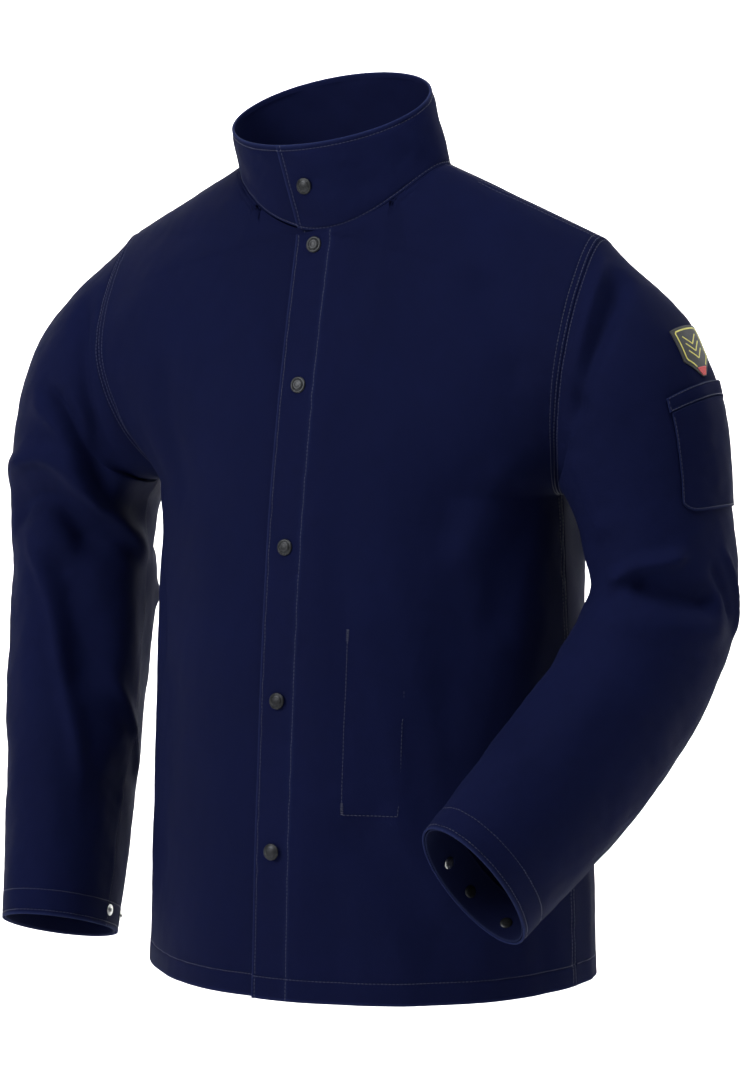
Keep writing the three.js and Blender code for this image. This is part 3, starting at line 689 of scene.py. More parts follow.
def frontGrid(side):
    spots = [-cut["edge"] + fronts["edgeStitch"], -cut["edge"] + fronts["placketStitch"]]
    if side > 0:
        spots.append(fronts["pocketLine"])
    strip = refined(-cut["edge"], 66, fronts["step"], spots)
    strip = np.unique(np.r_[strip, -cut["edge"] + np.array([0.12, 0.4, 0.8, 1.3])])
    rows = refined(0, 700, fronts["rows"], [fronts["hemStitch"] / 748 * 700 / 0.9])
    rows = np.unique(np.r_[rows, 0.12, 0.4, 0.8, 1.3, 698.9, 699.5]) / 700
    reach = 106 * side - cut["pit"][0]
    neckX = lambda v: side * (body(True, side, 0 * v, v)[..., 0] - cut["closure"]) - strip
    topTurn = (crossing(neckX, cut["vFront"], 0.9995, strip.shape) - cut["vFront"]) / (1 - cut["vFront"])
    topTurn = np.where(strip > 0, topTurn, 0)
    rise = lambda b, top: np.where(b < 0.5, 0.9 * b, 0.45 + (b - 0.5) * 2 * (top - 0.45))
    v = rise(rows[:, None], (cut["vFront"] + (1 - cut["vFront"]) * topTurn)[None, :])
    v = np.minimum(v, 0.9995)
    offset = lambda s: side * (body(True, side, s, v)[..., 0] - cut["closure"]) - strip[None, :]
    s = crossing(offset, -0.4, 0.95, v.shape)
    # outer part, from the last strip line to the side seam
    f = np.linspace(0, 1, fronts["columns"])[1:]
    f = np.unique(np.r_[f, 1 - np.array([0.0006, 0.002, 0.005, 0.012, 0.028])])
    split = 0.40
    turn = topTurn[-1] + (1 - topTurn[-1]) * np.clip(f / split, 0, 1)
    topV = cut["vFront"] + (1 - cut["vFront"]) * turn
    topS = np.clip((f - split) / (1 - split), 0, 1)
    v2 = np.minimum(rise(rows[:, None], topV[None, :]), 0.9995)
    away = lambda s: side * (body(True, side, s, v2)[..., 0] - cut["closure"]) - strip[-1]
    first = np.maximum(crossing(away, -0.4, 0.95, v2.shape), 0)
    w = np.clip((rows[:, None] - 0.3) / 0.7, 0, 1) ** 1.6
    s2 = (1 - w) * (first + (1 - first) * f) + w * np.maximum(topS[None, :], first)
    s2 = np.minimum(s2, 1 - np.where(v2 > cut["vArm"], 0.0008, 0.0006))
    p = np.concatenate([body(True, side, s, v), body(True, side, s2, v2)], 1)
    across = side * (p[..., 0] - cut["closure"])
    across[:, :len(strip)] = strip[None, :]
    return p, gridNormals(p, side), across


def frontSheet(name, side, folds):
    p, n, across = frontGrid(side)
    up = p[..., 2] - cut["hem"]
    fromSide = along(p, 1)[:, -1:] - along(p, 1)
    fromTop = distanceTo(p, p[-1])
    fromEdge = across + cut["edge"]
    lift = (cut["over"] if side > 0 else cut["under"]) * (1 - ease((across - 24) / 40))
    calm = ease(fromSide / 30) * ease(fromTop / 30)
    quiet = calm * (0.35 + 0.65 * ease((fromEdge - 20) / 40))
    move = folds(p, n) * calm + ripple(p, 11 + side, 46, 0.32, (1, 1, 2.2)) * quiet
    move += ripple(p, 21 + side, 17, 0.10, (1, 1, 1.4)) * quiet
    band = lambda d: 1 - ease((d - fronts["seamBand"]) / 1.6)
    move += 0.45 * np.maximum(band(fromSide), band(fromTop)) + 0.35 * (1 - ease((up - fronts["hemStitch"]) / 2))
    placket = 1 - ease((fromEdge - fronts["placketStitch"] - 1) / 2)
    move += 0.35 * placket
    pull = 1 + 0.5 * ripple(p, 31, 14, 1.0, count=10)
    lines = [fromEdge - fronts["edgeStitch"], fromEdge - fronts["placketStitch"], up - fronts["hemStitch"],
             fromSide - 2, fromSide - 7, fromTop - 2, fromTop - 7]
    for d in lines:
        move += groove(d) * pull
    pucker = np.exp(-((fromEdge - fronts["placketStitch"]) / 9) ** 2) * ripple(p, 41, 20, 0.22, (1, 1, 0.6))
    move += pucker
    thick = fronts["wall"] + 0.8 * np.maximum(placket, 1 - ease((up - fronts["hemStitch"]) / 3))
    free = np.minimum(fromEdge, up)
    edge = rolled(free, 1.0) + rolled(np.minimum(fromSide, fromTop), 0.6)
    outer = p + n * (lift + move - edge)[..., None]
    inner = p + n * (lift + move - thick + edge * 0.9)[..., None]
    wear = np.exp(-((free / 1.6) ** 2)) + 0.35 * np.exp(-(((fromEdge - fronts["placketStitch"]) / 2) ** 2))
    piece = shell(name, outer, inner, n, wear)
    column = lambda d: int(np.abs(fromEdge[5] - d).argmin())
    row = int(np.abs(up[:, 3] - fronts["hemStitch"]).argmin())
    runs = [(outer[3:-2, column(fronts["edgeStitch"])], n[3:-2, column(fronts["edgeStitch"])]),
            (outer[3:-2, column(fronts["placketStitch"])], n[3:-2, column(fronts["placketStitch"])]),
            (outer[row, 3:-3], n[row, 3:-3])]
    runs += [lineAt(outer, n, fromSide, d) for d in (2, 7)]
    seamPart = outer[:, -int(0.55 * fronts["columns"]):], n[:, -int(0.55 * fronts["columns"]):]
    runs += [lineAt(*seamPart, fromTop[:, -int(0.55 * fronts["columns"]):], d, axis=0) for d in (2, 7)]
    return piece, runs, dict(outer=outer, normal=n, across=across, up=up, middle=p + n * lift[..., None])


def areaOf(p):
    a, b = p[:-1, 1:] - p[:-1, :-1], p[1:, :-1] - p[:-1, :-1]
    return float(np.linalg.norm(np.cross(a, b), axis=-1).sum()) * mm * mm


# folds of the fronts: points near the cloth, then height, width on either side
leftCreases = [
    ([(62, -172, -556), (98, -162, -599), (128, -148, -642), (155, -128, -688), (172, -112, -720)], -7.0, 26, 22),
    ([(100, -162, -560), (135, -145, -610), (165, -120, -665)], 3.5, 20, 24),
    ([(155, -85, -81), (192, -97, -142), (215, -90, -199)], -5.0, 18, 22),
    ([(205, -70, -235), (172, -98, -300), (150, -112, -370)], 5.0, 16, 24),
    ([(212, -45, -290), (197, -76, -340), (182, -88, -430)], -6.0, 20, 20),
    ([(142, -114, -262), (147, -113, -342), (156, -111, -413), (150, -115, -520)], -5.0, 34, 34),
    ([(90, -100, -60), (70, -118, -130), (60, -135, -220)], 2.5, 18, 24),
]
rightCreases = [
    ([(-53, -108, -91), (-24, -123, -144), (-9, -132, -189)], -2.8, 14, 16),
    ([(-158, -105, -147), (-148, -112, -228), (-118, -126, -318)], -4.5, 15, 20),
    ([(-92, -133, -280), (-82, -148, -387), (-83, -156, -477)], 3.0, 30, 30),
    ([(-198, -55, -300), (-178, -85, -380), (-160, -100, -480)], -5.5, 22, 20),
    ([(-130, -120, -420), (-138, -120, -540), (-150, -118, -680)], -4.0, 26, 26),
    ([(-190, -80, -200), (-165, -100, -250), (-140, -112, -290)], 3.5, 12, 16),
]


def frontFolds(creases, seed):
    def folds(p, n):
        total = sum(crease(p, n, through(knots, 14), h, w0, w1) for knots, h, w0, w1 in creases)
        low = ease((-260 - p[..., 2]) / 300)
        return total + ripple(p, seed, 150, 2.2, (1, 1, 5), 12) * low
    return folds


leftFolds, rightFolds = frontFolds(leftCreases, 111), frontFolds(rightCreases, 112)


leftFront, leftRuns, leftPlace = frontSheet("left_front_cloth", 1, leftFolds)
rightFront, rightRuns, rightPlace = frontSheet("right_front_cloth", -1, rightFolds)
print("fronts made", round(areaOf(leftPlace["middle"]), 3), round(areaOf(rightPlace["middle"]), 3))

# stitched outline of the inside pocket, with a thick bar of thread at its upper corner
pocket = {"near": 70, "far": 117, "low": -570, "top": -405}


def onFront(place, x, z):
    order = np.argsort(place["middle"][:, 8, 2])
    points, ups = [], []
    for px, pz in zip(x, z):
        d = (place["outer"][..., 0] - px) ** 2 + (place["outer"][..., 2] - pz) ** 2
        k = np.unravel_index(np.argmin(d), d.shape)
        points.append(place["outer"][k] + [px - place["outer"][k][0], 0, pz - place["outer"][k][2]])
        ups.append(place["normal"][k])
    return np.array(points), np.array(ups)


zLine = np.linspace(pocket["low"], pocket["top"], 50)
xLine = np.linspace(pocket["near"], pocket["far"], 16)
leftRuns.append(onFront(leftPlace, np.full(50, pocket["near"]), zLine))
leftRuns.append(onFront(leftPlace, np.full(34, pocket["far"]), zLine[:34]))
leftRuns.append(onFront(leftPlace, xLine, np.full(16, pocket["low"])))
bars = [onFront(leftPlace, np.full(12, pocket["near"] + o), np.linspace(z, z - 11, 12))
        for o in (-0.7, 0, 0.7) for z in (pocket["top"], pocket["low"] + 11)]

leftThread = stitchMesh("left_front_stitching", leftRuns)
barThread = stitchMesh("pocket_bar_stitching", bars, pitch=1.6, radius=0.5)
rightThread = stitchMesh("right_front_stitching", rightRuns)
for piece, fold in ((leftFront, leftFold), (rightFront, rightFold)):
    bent(finished(piece, navyCloth))
for piece, fold in ((leftThread, leftFold), (barThread, leftFold), (rightThread, rightFold)):
    bent(finished(piece, navyThread))
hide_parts("left_front_panel", "left_side_front")
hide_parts("right_front_panel", "right_side_front")

# placket facings on the inner side of the fronts, and the inside pocket's bag
facings = {"width": 37, "wall": 1.2, "gap": 0.55}


def frontStrip(name, side, near, far, low, high, drop, thick):
    xs = np.linspace(near, far, 14)
    v = np.linspace(low, high, 110)[:, None] + 0 * xs[None, :]
    s = crossing(lambda k: side * (body(True, side, k, v)[..., 0] - cut["closure"]) - xs, -0.4, 0.95, v.shape)
    p = body(True, side, s, v)
    n = gridNormals(p, side)
    lift = (cut["over"] if side > 0 else cut["under"]) * (1 - ease((xs - 24) / 40))
    fromEdge = np.minimum(along(p, 1), along(p, 1)[:, -1:] - along(p, 1))
    fromEdge = np.minimum(fromEdge, np.minimum(along(p, 0), along(p, 0)[-1:] - along(p, 0)))
    edge = rolled(fromEdge, thick * 0.48)
    # lies along the folds of the front it is sewn to
    folds = (leftFolds if side > 0 else rightFolds)(p, n) * ease((along(p, 0)[-1:] - along(p, 0) + 14) / 30)
    move = lift - drop + folds + ripple(p, 51 + side, 30, 0.12)
    outer = p + n * (move - edge)[..., None]
    inner = p + n * (move - thick + edge)[..., None]
    return shell(name, outer, inner, n, np.exp(-((fromEdge / 1.5) ** 2)))


drop = fronts["wall"] + 0.8 + facings["gap"] + 0.15
leftFacing = frontStrip("left_placket_facing_cloth", 1, -18.5, 17.5, 0.002, 0.862, drop, facings["wall"])
rightFacing = frontStrip("right_placket_facing_cloth", -1, -18.5, 17.5, 0.002, 0.862, drop, facings["wall"])
vLow = 0.6 * (pocket["low"] - cut["hem"]) / (cut["armpit"] - cut["hem"])
vTop = 0.6 * (pocket["top"] - cut["hem"]) / (cut["armpit"] - cut["hem"])
pocketBag = frontStrip("inside_pocket_cloth", 1, pocket["near"] - 8, pocket["far"] - 8, vLow, vTop, 2.7, 1.1)
for piece, node, b, flat in ((leftFacing, "left_placket_facing", "left_front", (0.037, 0.68)),
                             (rightFacing, "right_placket_facing", "right_front", (0.037, 0.68))):
    finished(piece, liningCloth)
    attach(piece, b)
    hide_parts(node)
bent(finished(pocketBag, liningCloth))
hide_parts("inside_pocket")

# ---------- back ----------

backCloth = {"rows": 3.4, "columns": 150, "stretch": 0.62}


def backGrid():
    a = np.linspace(-1, 1, backCloth["columns"])
    a = np.unique(np.r_[a, [k * (1 - x) for k in (-1, 1) for x in (0.0006, 0.002, 0.005, 0.012)]])
    rows = refined(0, 700, backCloth["rows"], [fronts["hemStitch"] / 748 * 700 / 0.9])
    rows = np.unique(np.r_[rows, 0.12, 0.4, 0.8, 1.3, 698.9, 699.5]) / 700
    out = np.abs(a)
    split = backCloth["stretch"]
    topV = cut["vBack"] + (1 - cut["vBack"]) * np.clip(out / split, 0, 1)
    topS = np.clip((out - split) / (1 - split), 0, 1)
    b = rows[:, None]
    v = np.where(b < 0.5, 0.9 * b, 0.45 + (b - 0.5) * 2 * (topV - 0.45)[None, :])
    v = np.minimum(v, 0.9995)
    w = b**1.6
    s = np.minimum((1 - w) * out + w * topS, 1 - np.where(v > cut["vArm"], 0.0008, 0.0006))
    p = np.where((a < 0)[None, :, None], body(False, -1, s, v), body(False, 1, s, v))
    return p, gridNormals(p, -1), a


backCreases = [
    ([(186, 78, -250), (152, 118, -330), (122, 138, -430)], -6.0, 24, 24),
    ([(-186, 78, -250), (-150, 120, -340), (-110, 142, -440)], -6.0, 24, 24),
    ([(205, 30, -300), (185, 75, -380), (165, 100, -480)], 5.0, 18, 24),
    ([(-205, 30, -300), (-188, 72, -390), (-170, 96, -500)], 5.0, 18, 24),
    ([(-95, 132, -150), (-30, 140, -175), (40, 140, -178), (100, 130, -155)], 2.2, 22, 30),
    ([(62, 160, -420), (72, 165, -560), (84, 168, -715)], 4.5, 30, 30),
    ([(-48, 160, -400), (-60, 166, -560), (-74, 170, -715)], 4.5, 28, 34),
    ([(8, 160, -460), (4, 168, -600), (0, 172, -720)], -3.5, 24, 24),
]


def backFolds(p, n):
    return frontFolds(backCreases, 113)(p, n)


p, n, a = backGrid()
up = p[..., 2] - cut["hem"]
reach = along(p, 1)
fromSide = np.minimum(reach, reach[:, -1:] - reach)
fromTop = along(p, 0)[-1:] - along(p, 0)
calm = ease(fromSide / 30) * ease(fromTop / 30)
move = (backFolds(p, n) + ripple(p, 61, 60, 0.5, (1, 1, 2.6)) + ripple(p, 62, 18, 0.1)) * calm
move += 0.35 * (1 - ease((up - fronts["hemStitch"]) / 2))
for d in (up - fronts["hemStitch"],):
    move += groove(d) * (1 + 0.5 * ripple(p, 63, 14, 1.0, count=10))
thick = fronts["wall"] + 0.8 * (1 - ease((up - fronts["hemStitch"]) / 3))
edge = rolled(up, 1.0) + rolled(np.minimum(fromSide, fromTop), 0.6)
outer = p + n * (move - edge)[..., None]
inner = p + n * (move - thick + edge * 0.9)[..., None]
back = shell("back_cloth", outer, inner, n, np.exp(-((up / 1.6) ** 2)))
row = int(np.abs(up[:, 70] - fronts["hemStitch"]).argmin())
backThread = stitchMesh("back_stitching", [(outer[row, 3:-3], n[row, 3:-3])])
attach(finished(back, navyCloth), "torso")
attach(finished(backThread, navyThread), "torso")
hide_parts("back_panel")
print("back made", round(areaOf(p), 3))

# ---------- collar ----------

collarCloth = {"wall": 2.6, "rimStitch": 5.0, "seamStitch": 2.2, "split": 0.5}


def collarSheet(name, side, start, stop, low, over, nearEdge):
    s = np.linspace(start, stop, 78)
    if nearEdge:
        s = np.unique(np.r_[s, start + np.array([0.0004, 0.0013, 0.0026, 0.0042])])
    h = refined(0, 75, 2.4, [collarCloth["rimStitch"], 75 - collarCloth["seamStitch"]])
    h = low + (1 - low) * (1 - np.unique(np.r_[h, 0.12, 0.4, 0.8, 1.4]) / 75)[::-1]
    if side:
        p = collar(side, s[None, :], h[:, None])
        n = gridNormals(p, side)
    else:
        turnedS = np.where(s > 1, 2 - s, s)
        p = np.where((s > 1)[None, :, None], collar(-1, turnedS[None, :], h[:, None]),
                     collar(1, turnedS[None, :], h[:, None]))
        n = gridNormals(p, 1)
    across = side * (p[..., 0] - cut["closure"] + 18 * side * h[:, None]) if side else 1e3
    lift = over * (1 - ease((across - 24) / 40))
    fromRim = along(p, 0)[-1:] - along(p, 0)
    fromSeam = along(p, 0)
    fromEdge = along(p, 1) if nearEdge else 1e3 + 0 * fromRim
    free = np.minimum(fromRim, fromEdge)
    calm = ease(fromSeam / 14) * ease((free - 2) / 8) * (ease((along(p, 1)[:, -1:] - along(p, 1)) / 25)
                                                        if nearEdge else 1)
    if not nearEdge:
        calm = calm * ease(along(p, 1) / 25) * ease((along(p, 1)[:, -1:] - along(p, 1)) / 25)
    move = (ripple(p, 71, 34, 0.5, (1.5, 1.5, 1)) + ripple(p, 72, 13, 0.12)) * calm
    pull = 1 + 0.4 * ripple(p, 73, 12, 1.0, count=10)
    for d in (fromRim - collarCloth["rimStitch"], fromSeam - collarCloth["seamStitch"],
              fromEdge - collarCloth["rimStitch"]):
        move += groove(d, 0.5) * pull
    edge = rolled(free, 1.25) + rolled(fromSeam, 0.5)
    outer = p + n * (lift + move - edge)[..., None]
    inner = p + n * (lift + move * 0.5 - collarCloth["wall"] + edge)[..., None]
    wear = np.exp(-((free / 1.8) ** 2)) + 0.3 * np.exp(-((fromSeam / 2.0) ** 2))
    piece = shell(name, outer, inner, n, wear)
    runs = [lineAt(outer, n, fromRim, collarCloth["rimStitch"], 0), lineAt(outer, n, fromSeam,
                                                                          collarCloth["seamStitch"], 0)]
    if nearEdge:
        runs.append(lineAt(outer, n, fromEdge, collarCloth["rimStitch"]))
    return piece, runs, areaOf(p)


edgeS = -math.asin(cut["edge"] / 99) / math.pi
collarParts = [
    ("collar_left_cloth", 1, edgeS, collarCloth["split"], 0.0, cut["collarOver"], "collar_left", leftFold),
    ("collar_right_cloth", -1, edgeS, collarCloth["split"], 0.0, cut["under"], "collar_right", rightFold),
    ("collar_back_cloth", 0, collarCloth["split"], 2 - collarCloth["split"], 0.0, 0, "collar_back", None),
]
for name, side, start, stop, low, over, node, fold in collarParts:
    piece, runs, size = collarSheet(name, side, start, stop, low, over, side != 0)
    thread = stitchMesh(name.replace("cloth", "stitching"), runs)
    finished(piece, navyCloth)
    finished(thread, navyThread)
    if fold:
        bent(piece)
        bent(thread)
    else:
        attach(piece, "torso")
        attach(thread, "torso")
    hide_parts(node)
    print(name, round(size, 4))

# ---------- sleeves ----------

sleeveCloth = {"columns": 150, "rows": 190, "wall": 1.3, "cuffStitch": 24, "edgeStitch": 4.5, "turn": 26}
shoulderLead = 105


def sleevePoint(arm, th, u, gap=0.0):
    grid = sleeve(arm, th, u)
    e = 1e-3
    across = sleeve(arm, th + e, u) - sleeve(arm, th - e, u)
    down = sleeve(arm, th, u + e) - sleeve(arm, th, u - e)
    n = unit(np.cross(across, down)) * arm["side"]
    return grid + n * gap, n


# sleeve folds: (turn in degrees, u) knots, height, width on either side
sleeveCreases = {
    "right": [
        ([(40, 0.345), (72, 0.290), (100, 0.262), (123, 0.295), (160, 0.378), (190, 0.46)], 12.0, 9, 14),
        ([(50, 0.400), (80, 0.345), (108, 0.335), (132, 0.390), (148, 0.440)], -12.0, 15, 15),
        ([(65, 0.185), (108, 0.170), (131, 0.257), (148, 0.340)], -11.0, 10, 10),
        ([(58, 0.225), (99, 0.200), (122, 0.265), (146, 0.360)], 5.0, 9, 9),
        ([(35, 0.085), (70, 0.060), (100, 0.055), (127, 0.10), (151, 0.25)], -8.0, 11, 13),
        ([(98, 0.40), (118, 0.48), (132, 0.57), (142, 0.68)], -10.0, 24, 22),
        ([(75, 0.380), (98, 0.48), (110, 0.567), (128, 0.707), (146, 0.828)], 6.0, 7, 12),
        ([(150, 0.60), (168, 0.665), (194, 0.74), (212, 0.80)], 4.0, 6, 7),
        ([(20, 0.44), (38, 0.52), (45, 0.62), (50, 0.76)], 3.0, 16, 16),
        ([(195, 0.45), (240, 0.42), (290, 0.40), (330, 0.41)], -6.5, 10, 13),
        ([(205, 0.51), (250, 0.49), (300, 0.46)], 5.0, 9, 12),
        ([(215, 0.36), (255, 0.33), (300, 0.30)], 4.0, 12, 12),
        ([(200, 0.10), (230, 0.16), (250, 0.28)], -7.0, 14, 14),
        ([(280, 0.60), (310, 0.72), (330, 0.85)], 3.5, 16, 16),
        ([(158, 0.35), (163, 0.45), (167, 0.57), (172, 0.69), (180, 0.80)], 9.0, 30, 30),
    ],
    "left": [
        ([(108, 0.505), (92, 0.462), (80, 0.440), (64, 0.432), (46, 0.422), (36, 0.400)], 9.0, 6, 9),
        ([(94, 0.490), (80, 0.472), (61, 0.487), (38, 0.492), (5, 0.485)], -12.0, 12, 12),
        ([(96, 0.625), (86, 0.600), (57, 0.568), (23, 0.535), (-12, 0.505)], 5.0, 14, 16),
        ([(10, 0.080), (30, 0.100), (60, 0.110), (90, 0.112), (112, 0.150)], -12.0, 11, 11),
        ([(8, 0.030), (46, 0.056), (75, 0.085), (99, 0.135)], 5.5, 8, 8),
        ([(112, 0.170), (106, 0.277), (101, 0.385)], 4.5, 12, 12),
        ([(8, 0.400), (-8, 0.443), (-20, 0.480), (-26, 0.520)], 4.0, 6, 6),
        ([(22, 0.430), (6, 0.462), (-12, 0.500)], -4.0, 6, 6),
        ([(130, 0.44), (160, 0.47), (200, 0.48)], -8.0, 12, 12),
        ([(195, 0.50), (235, 0.49), (275, 0.47)], 5.0, 10, 12),
        ([(205, 0.43), (245, 0.41), (290, 0.42)], -5.0, 10, 12),
        ([(200, 0.10), (232, 0.16), (252, 0.28)], -7.0, 14, 14),
        ([(120, 0.62), (95, 0.72), (85, 0.86)], -4.0, 22, 22),
        ([(250, 0.62), (275, 0.72), (300, 0.85)], 3.5, 16, 16),
    ],
}


def sleeveFolds(name, p, n, th, u):
    total = np.zeros(p.shape[:-1])
    for knots, h, w0, w1 in sleeveCreases[name]:
        deg, at = knotLine(knots, np.linspace(0, 1, 14)).T
        total += crease(p, n, sleeve(arms[name], np.radians(deg), at), h, w0, w1, 0.22)
    return total


def sleeveSheets(name):
    arm = arms[name]
    side = arm["side"]
    lastRun = float(np.linalg.norm(np.diff(np.array(arm["line"], float)[-2:], axis=0))) * 6
    th = np.pi + np.linspace(0, 2 * np.pi, sleeveCloth["columns"] + 1)
    spots = [1 - sleeveCloth["cuffStitch"] / lastRun, 1 - sleeveCloth["edgeStitch"] / lastRun]
    u = np.linspace(0.0006, 1, sleeveCloth["rows"])
    near = np.array([s + k * o / lastRun for s in spots for o in (0, 0.7, 1.5) for k in (-1, 1)])
    ends = [1 - 0.12 / lastRun, 1 - 0.4 / lastRun, 1 - 0.8 / lastRun, 1 - 1.3 / lastRun, 0.0014, 0.0030]
    u = np.unique(np.round(np.r_[u, near, ends, arm["split"]], 6))
    u = np.array([x for i, x in enumerate(u) if i == 0 or x - u[i - 1] > 1e-4 or x in (1, arm["split"])])
    p = sleeve(arm, th[None, :], u[:, None])
    n = gridNormals(p, side, True)
    fromCuff = (1 - u)[:, None] * lastRun + 0 * p[..., 0]
    fromTop = along(p, 0)
    around = along(p, 1)
    fromSeam = np.minimum(around, around[:, -1:] - around)
    calm = ease(fromTop / 26) * (0.25 + 0.75 * ease(fromCuff / 60))
    ends = ease(fromTop / 26) * ease((fromCuff - 3) / 30)
    move = sleeveFolds(name, p, n, th, u) * ends + ripple(p, 81 + side, 40, 0.40, (1, 1, 1.8)) * calm
    move += ripple(p, 91 + side, 15, 0.12) * calm
    pull = 1 + 0.5 * ripple(p, 95 + side, 14, 1.0, count=10)
    for d in (fromCuff - sleeveCloth["cuffStitch"], fromCuff - sleeveCloth["edgeStitch"], fromTop - 2.2,
              around - 6.5):
        move += groove(d) * pull
    move += 0.35 * (1 - ease((fromCuff - sleeveCloth["cuffStitch"]) / 2))
    move += 0.4 * (1 - ease((around - 7.5) / 2)) - groove(around - 0.3, -0.4, 0.8)
    thick = sleeveCloth["wall"] + 0.8 * (1 - ease((fromCuff - sleeveCloth["turn"]) / 2))
    edge = rolled(fromCuff, 1.0) + rolled(fromTop, 0.6)
    outer = p + n * (move - edge)[..., None]
    inner = p + n * (move - thick + edge * 0.9)[..., None]
    wear = np.exp(-((fromCuff / 1.7) ** 2))
    cutRow = int(np.abs(u - arm["split"]).argmin())
    made = []
    for part, rows in (("upper", slice(0, cutRow + 1)), ("lower", slice(cutRow, None))):
        piece = shell(f"{name}_sleeve_{part}_cloth", outer[rows], inner[rows], n[rows], wear[rows], True)
        runs = [lineAt(outer[rows], n[rows], around[rows], 6.5)]
        if part == "upper":
            runs.append(lineAt(outer[rows], n[rows], fromTop[rows], 2.2, 0))
        else:
            runs += [lineAt(outer[rows], n[rows], -fromCuff[rows], -sleeveCloth[k], 0)
                     for k in ("cuffStitch", "edgeStitch")]
        thread = stitchMesh(f"{name}_sleeve_{part}_stitching", runs)
        made.append((piece, thread, areaOf(p[rows])))
    return made, dict(outer=outer, normal=n, th=th, u=u, run=lastRun, base=p)


shoulderBend = {k: slab(f"{k}_shoulder", (a["side"] * 0.983, 0, -0.18), 0, 1) for k, a in arms.items()}
for k, a in arms.items():
    # armhole plane, leaning in towards the armpit, moved 16 mm down the sleeve
    way = unit(np.array([a["side"] * 0.983, 0, -0.18]))
    at = np.array([a["side"] * 247, -10, -60]) + way * 16
    shoulderBend[k].update(start=tuple(at * mm), end=tuple((at + way * shoulderLead) * mm))
elbowWay = {}
for k, a in arms.items():
    line = np.array(a["line"], float)
    way = unit(knotLine(line, np.array(0.60)) - knotLine(line, np.array(0.46)))
    elbowWay[k] = slab(f"{k}_elbow", tuple(way), 52, 52)
shoulderNodes = {k: [f"{k}_sleeve_upper"] for k in arms}
elbowNodes = {k: [f"{k}_sleeve_elbow", f"{k}_sleeve_lower"] for k in arms}
sleevePlace = {}
for k in arms:
    made, sleevePlace[k] = sleeveSheets(k)
    for (piece, thread, size), where, nodes, flat in zip(made, (shoulderBend[k], elbowWay[k]),
                                                         (shoulderNodes[k], elbowNodes[k]),
                                                         ((0.52, 0.20), (0.50, 0.35))):
        for x, material in ((piece, navyCloth), (thread, navyThread)):
            bent(finished(x, material))
        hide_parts(*nodes)
        print(piece.name, round(size, 4))

# facing bands inside the cuffs
for k, a in arms.items():
    th = np.pi + np.linspace(0, 2 * np.pi, 97)
    lastRun = sleevePlace[k]["run"]
    u = 1 - np.r_[40, 39.6, 39.0, np.linspace(37, 3, 14), 1.6, 1.0, 0.6] / lastRun
    p = sleeve(a, th[None, :], u[:, None])
    n = gridNormals(p, a["side"], True)
    fromEnd = np.minimum(along(p, 0), along(p, 0)[-1:] - along(p, 0))
    edge = rolled(fromEnd, 0.5)
    band = shell(f"{k}_cuff_facing_cloth", p + n * (-2.6 - edge)[..., None], p + n * (-3.7 + edge)[..., None], n,
                 np.exp(-((fromEnd / 1.5) ** 2)), True)
    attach(finished(band, liningCloth), f"{k}_lower_sleeve")
    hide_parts(f"{k}_cuff_facing")

# ---------- sleeve pocket and badge ----------

patches = {"turn": 37, "top": 0.2345, "low": 0.349, "bandLow": 0.234, "bandTop": 0.2215,
           "badgeTop": 0.1745, "badgeLow": 0.2175, "badgeTurn": 16}


# patch lying on the left sleeve: outline(a, b) gives turn in degrees and u; thickness and gap in mm
def sleevePatch(name, outline, gap, thick, na, nb, wobble=0.15):
    a = np.unique(np.r_[np.linspace(0, 1, na), 0.002, 0.006, 0.012, 0.988, 0.994, 0.998])
    b = np.unique(np.r_[np.linspace(0, 1, nb), 0.003, 0.009, 0.018, 0.982, 0.991, 0.997])
    deg, u = outline(a[None, :], b[:, None])
    p, n = sleevePoint(arms["left"], np.radians(deg), u)
    p, n = p + n * clothHeight(deg, u)[..., None], n
    sides = np.minimum(along(p, 1), along(p, 1)[:, -1:] - along(p, 1))
    ends = np.minimum(along(p, 0), along(p, 0)[-1:] - along(p, 0))
    fromEdge = np.minimum(sides, ends)
    edge = rolled(fromEdge, min(0.8, thick * 0.45))
    move = gap + thick + ripple(p, 101, 26, wobble) * ease(fromEdge / 8) + groove(fromEdge - 2.2, 0.4)
    outer = p + n * (move - edge)[..., None]
    inner = p + n * (gap + edge * 0.5)[..., None]
    wear = 0.5 * np.exp(-((fromEdge / 1.4) ** 2))
    return shell(name, outer, inner, n, wear), dict(outer=outer, normal=n, edge=fromEdge, a=a, b=b)


# how far the folded sleeve cloth stands off the plain sleeve at a turn and u
def clothHeight(deg, u):
    place = sleevePlace["left"]
    high = np.sum((place["outer"] - place["base"]) * place["normal"], -1)
    col = np.mod(np.radians(deg) - np.pi, 2 * np.pi) / (2 * np.pi) * (len(place["th"]) - 1)
    row = np.interp(u, place["u"], np.arange(len(place["u"])))
    deg, u, col, row = np.broadcast_arrays(deg, u, col, row)
    i, j = np.floor(col).astype(int), np.minimum(np.floor(row).astype(int), high.shape[0] - 2)
    f, g = col - i, row - j
    i2 = np.minimum(i + 1, high.shape[1] - 1)
    return ((high[j, i] * (1 - f) + high[j, i2] * f) * (1 - g) + (high[j + 1, i] * (1 - f) + high[j + 1, i2] * f) * g)


def pocketOutline(a, b):
    corner = 0.016 * np.abs(2 * a - 1) ** 8
    low = patches["low"] - corner
    return patches["turn"] * (1 - 2 * a) + 0 * b, low + (patches["top"] - low) * b


def bandOutline(a, b):
    turn = patches["turn"] + 1.5
    return turn * (1 - 2 * a) + 0 * b, patches["bandLow"] + (patches["bandTop"] - patches["bandLow"]) * b + 0 * a


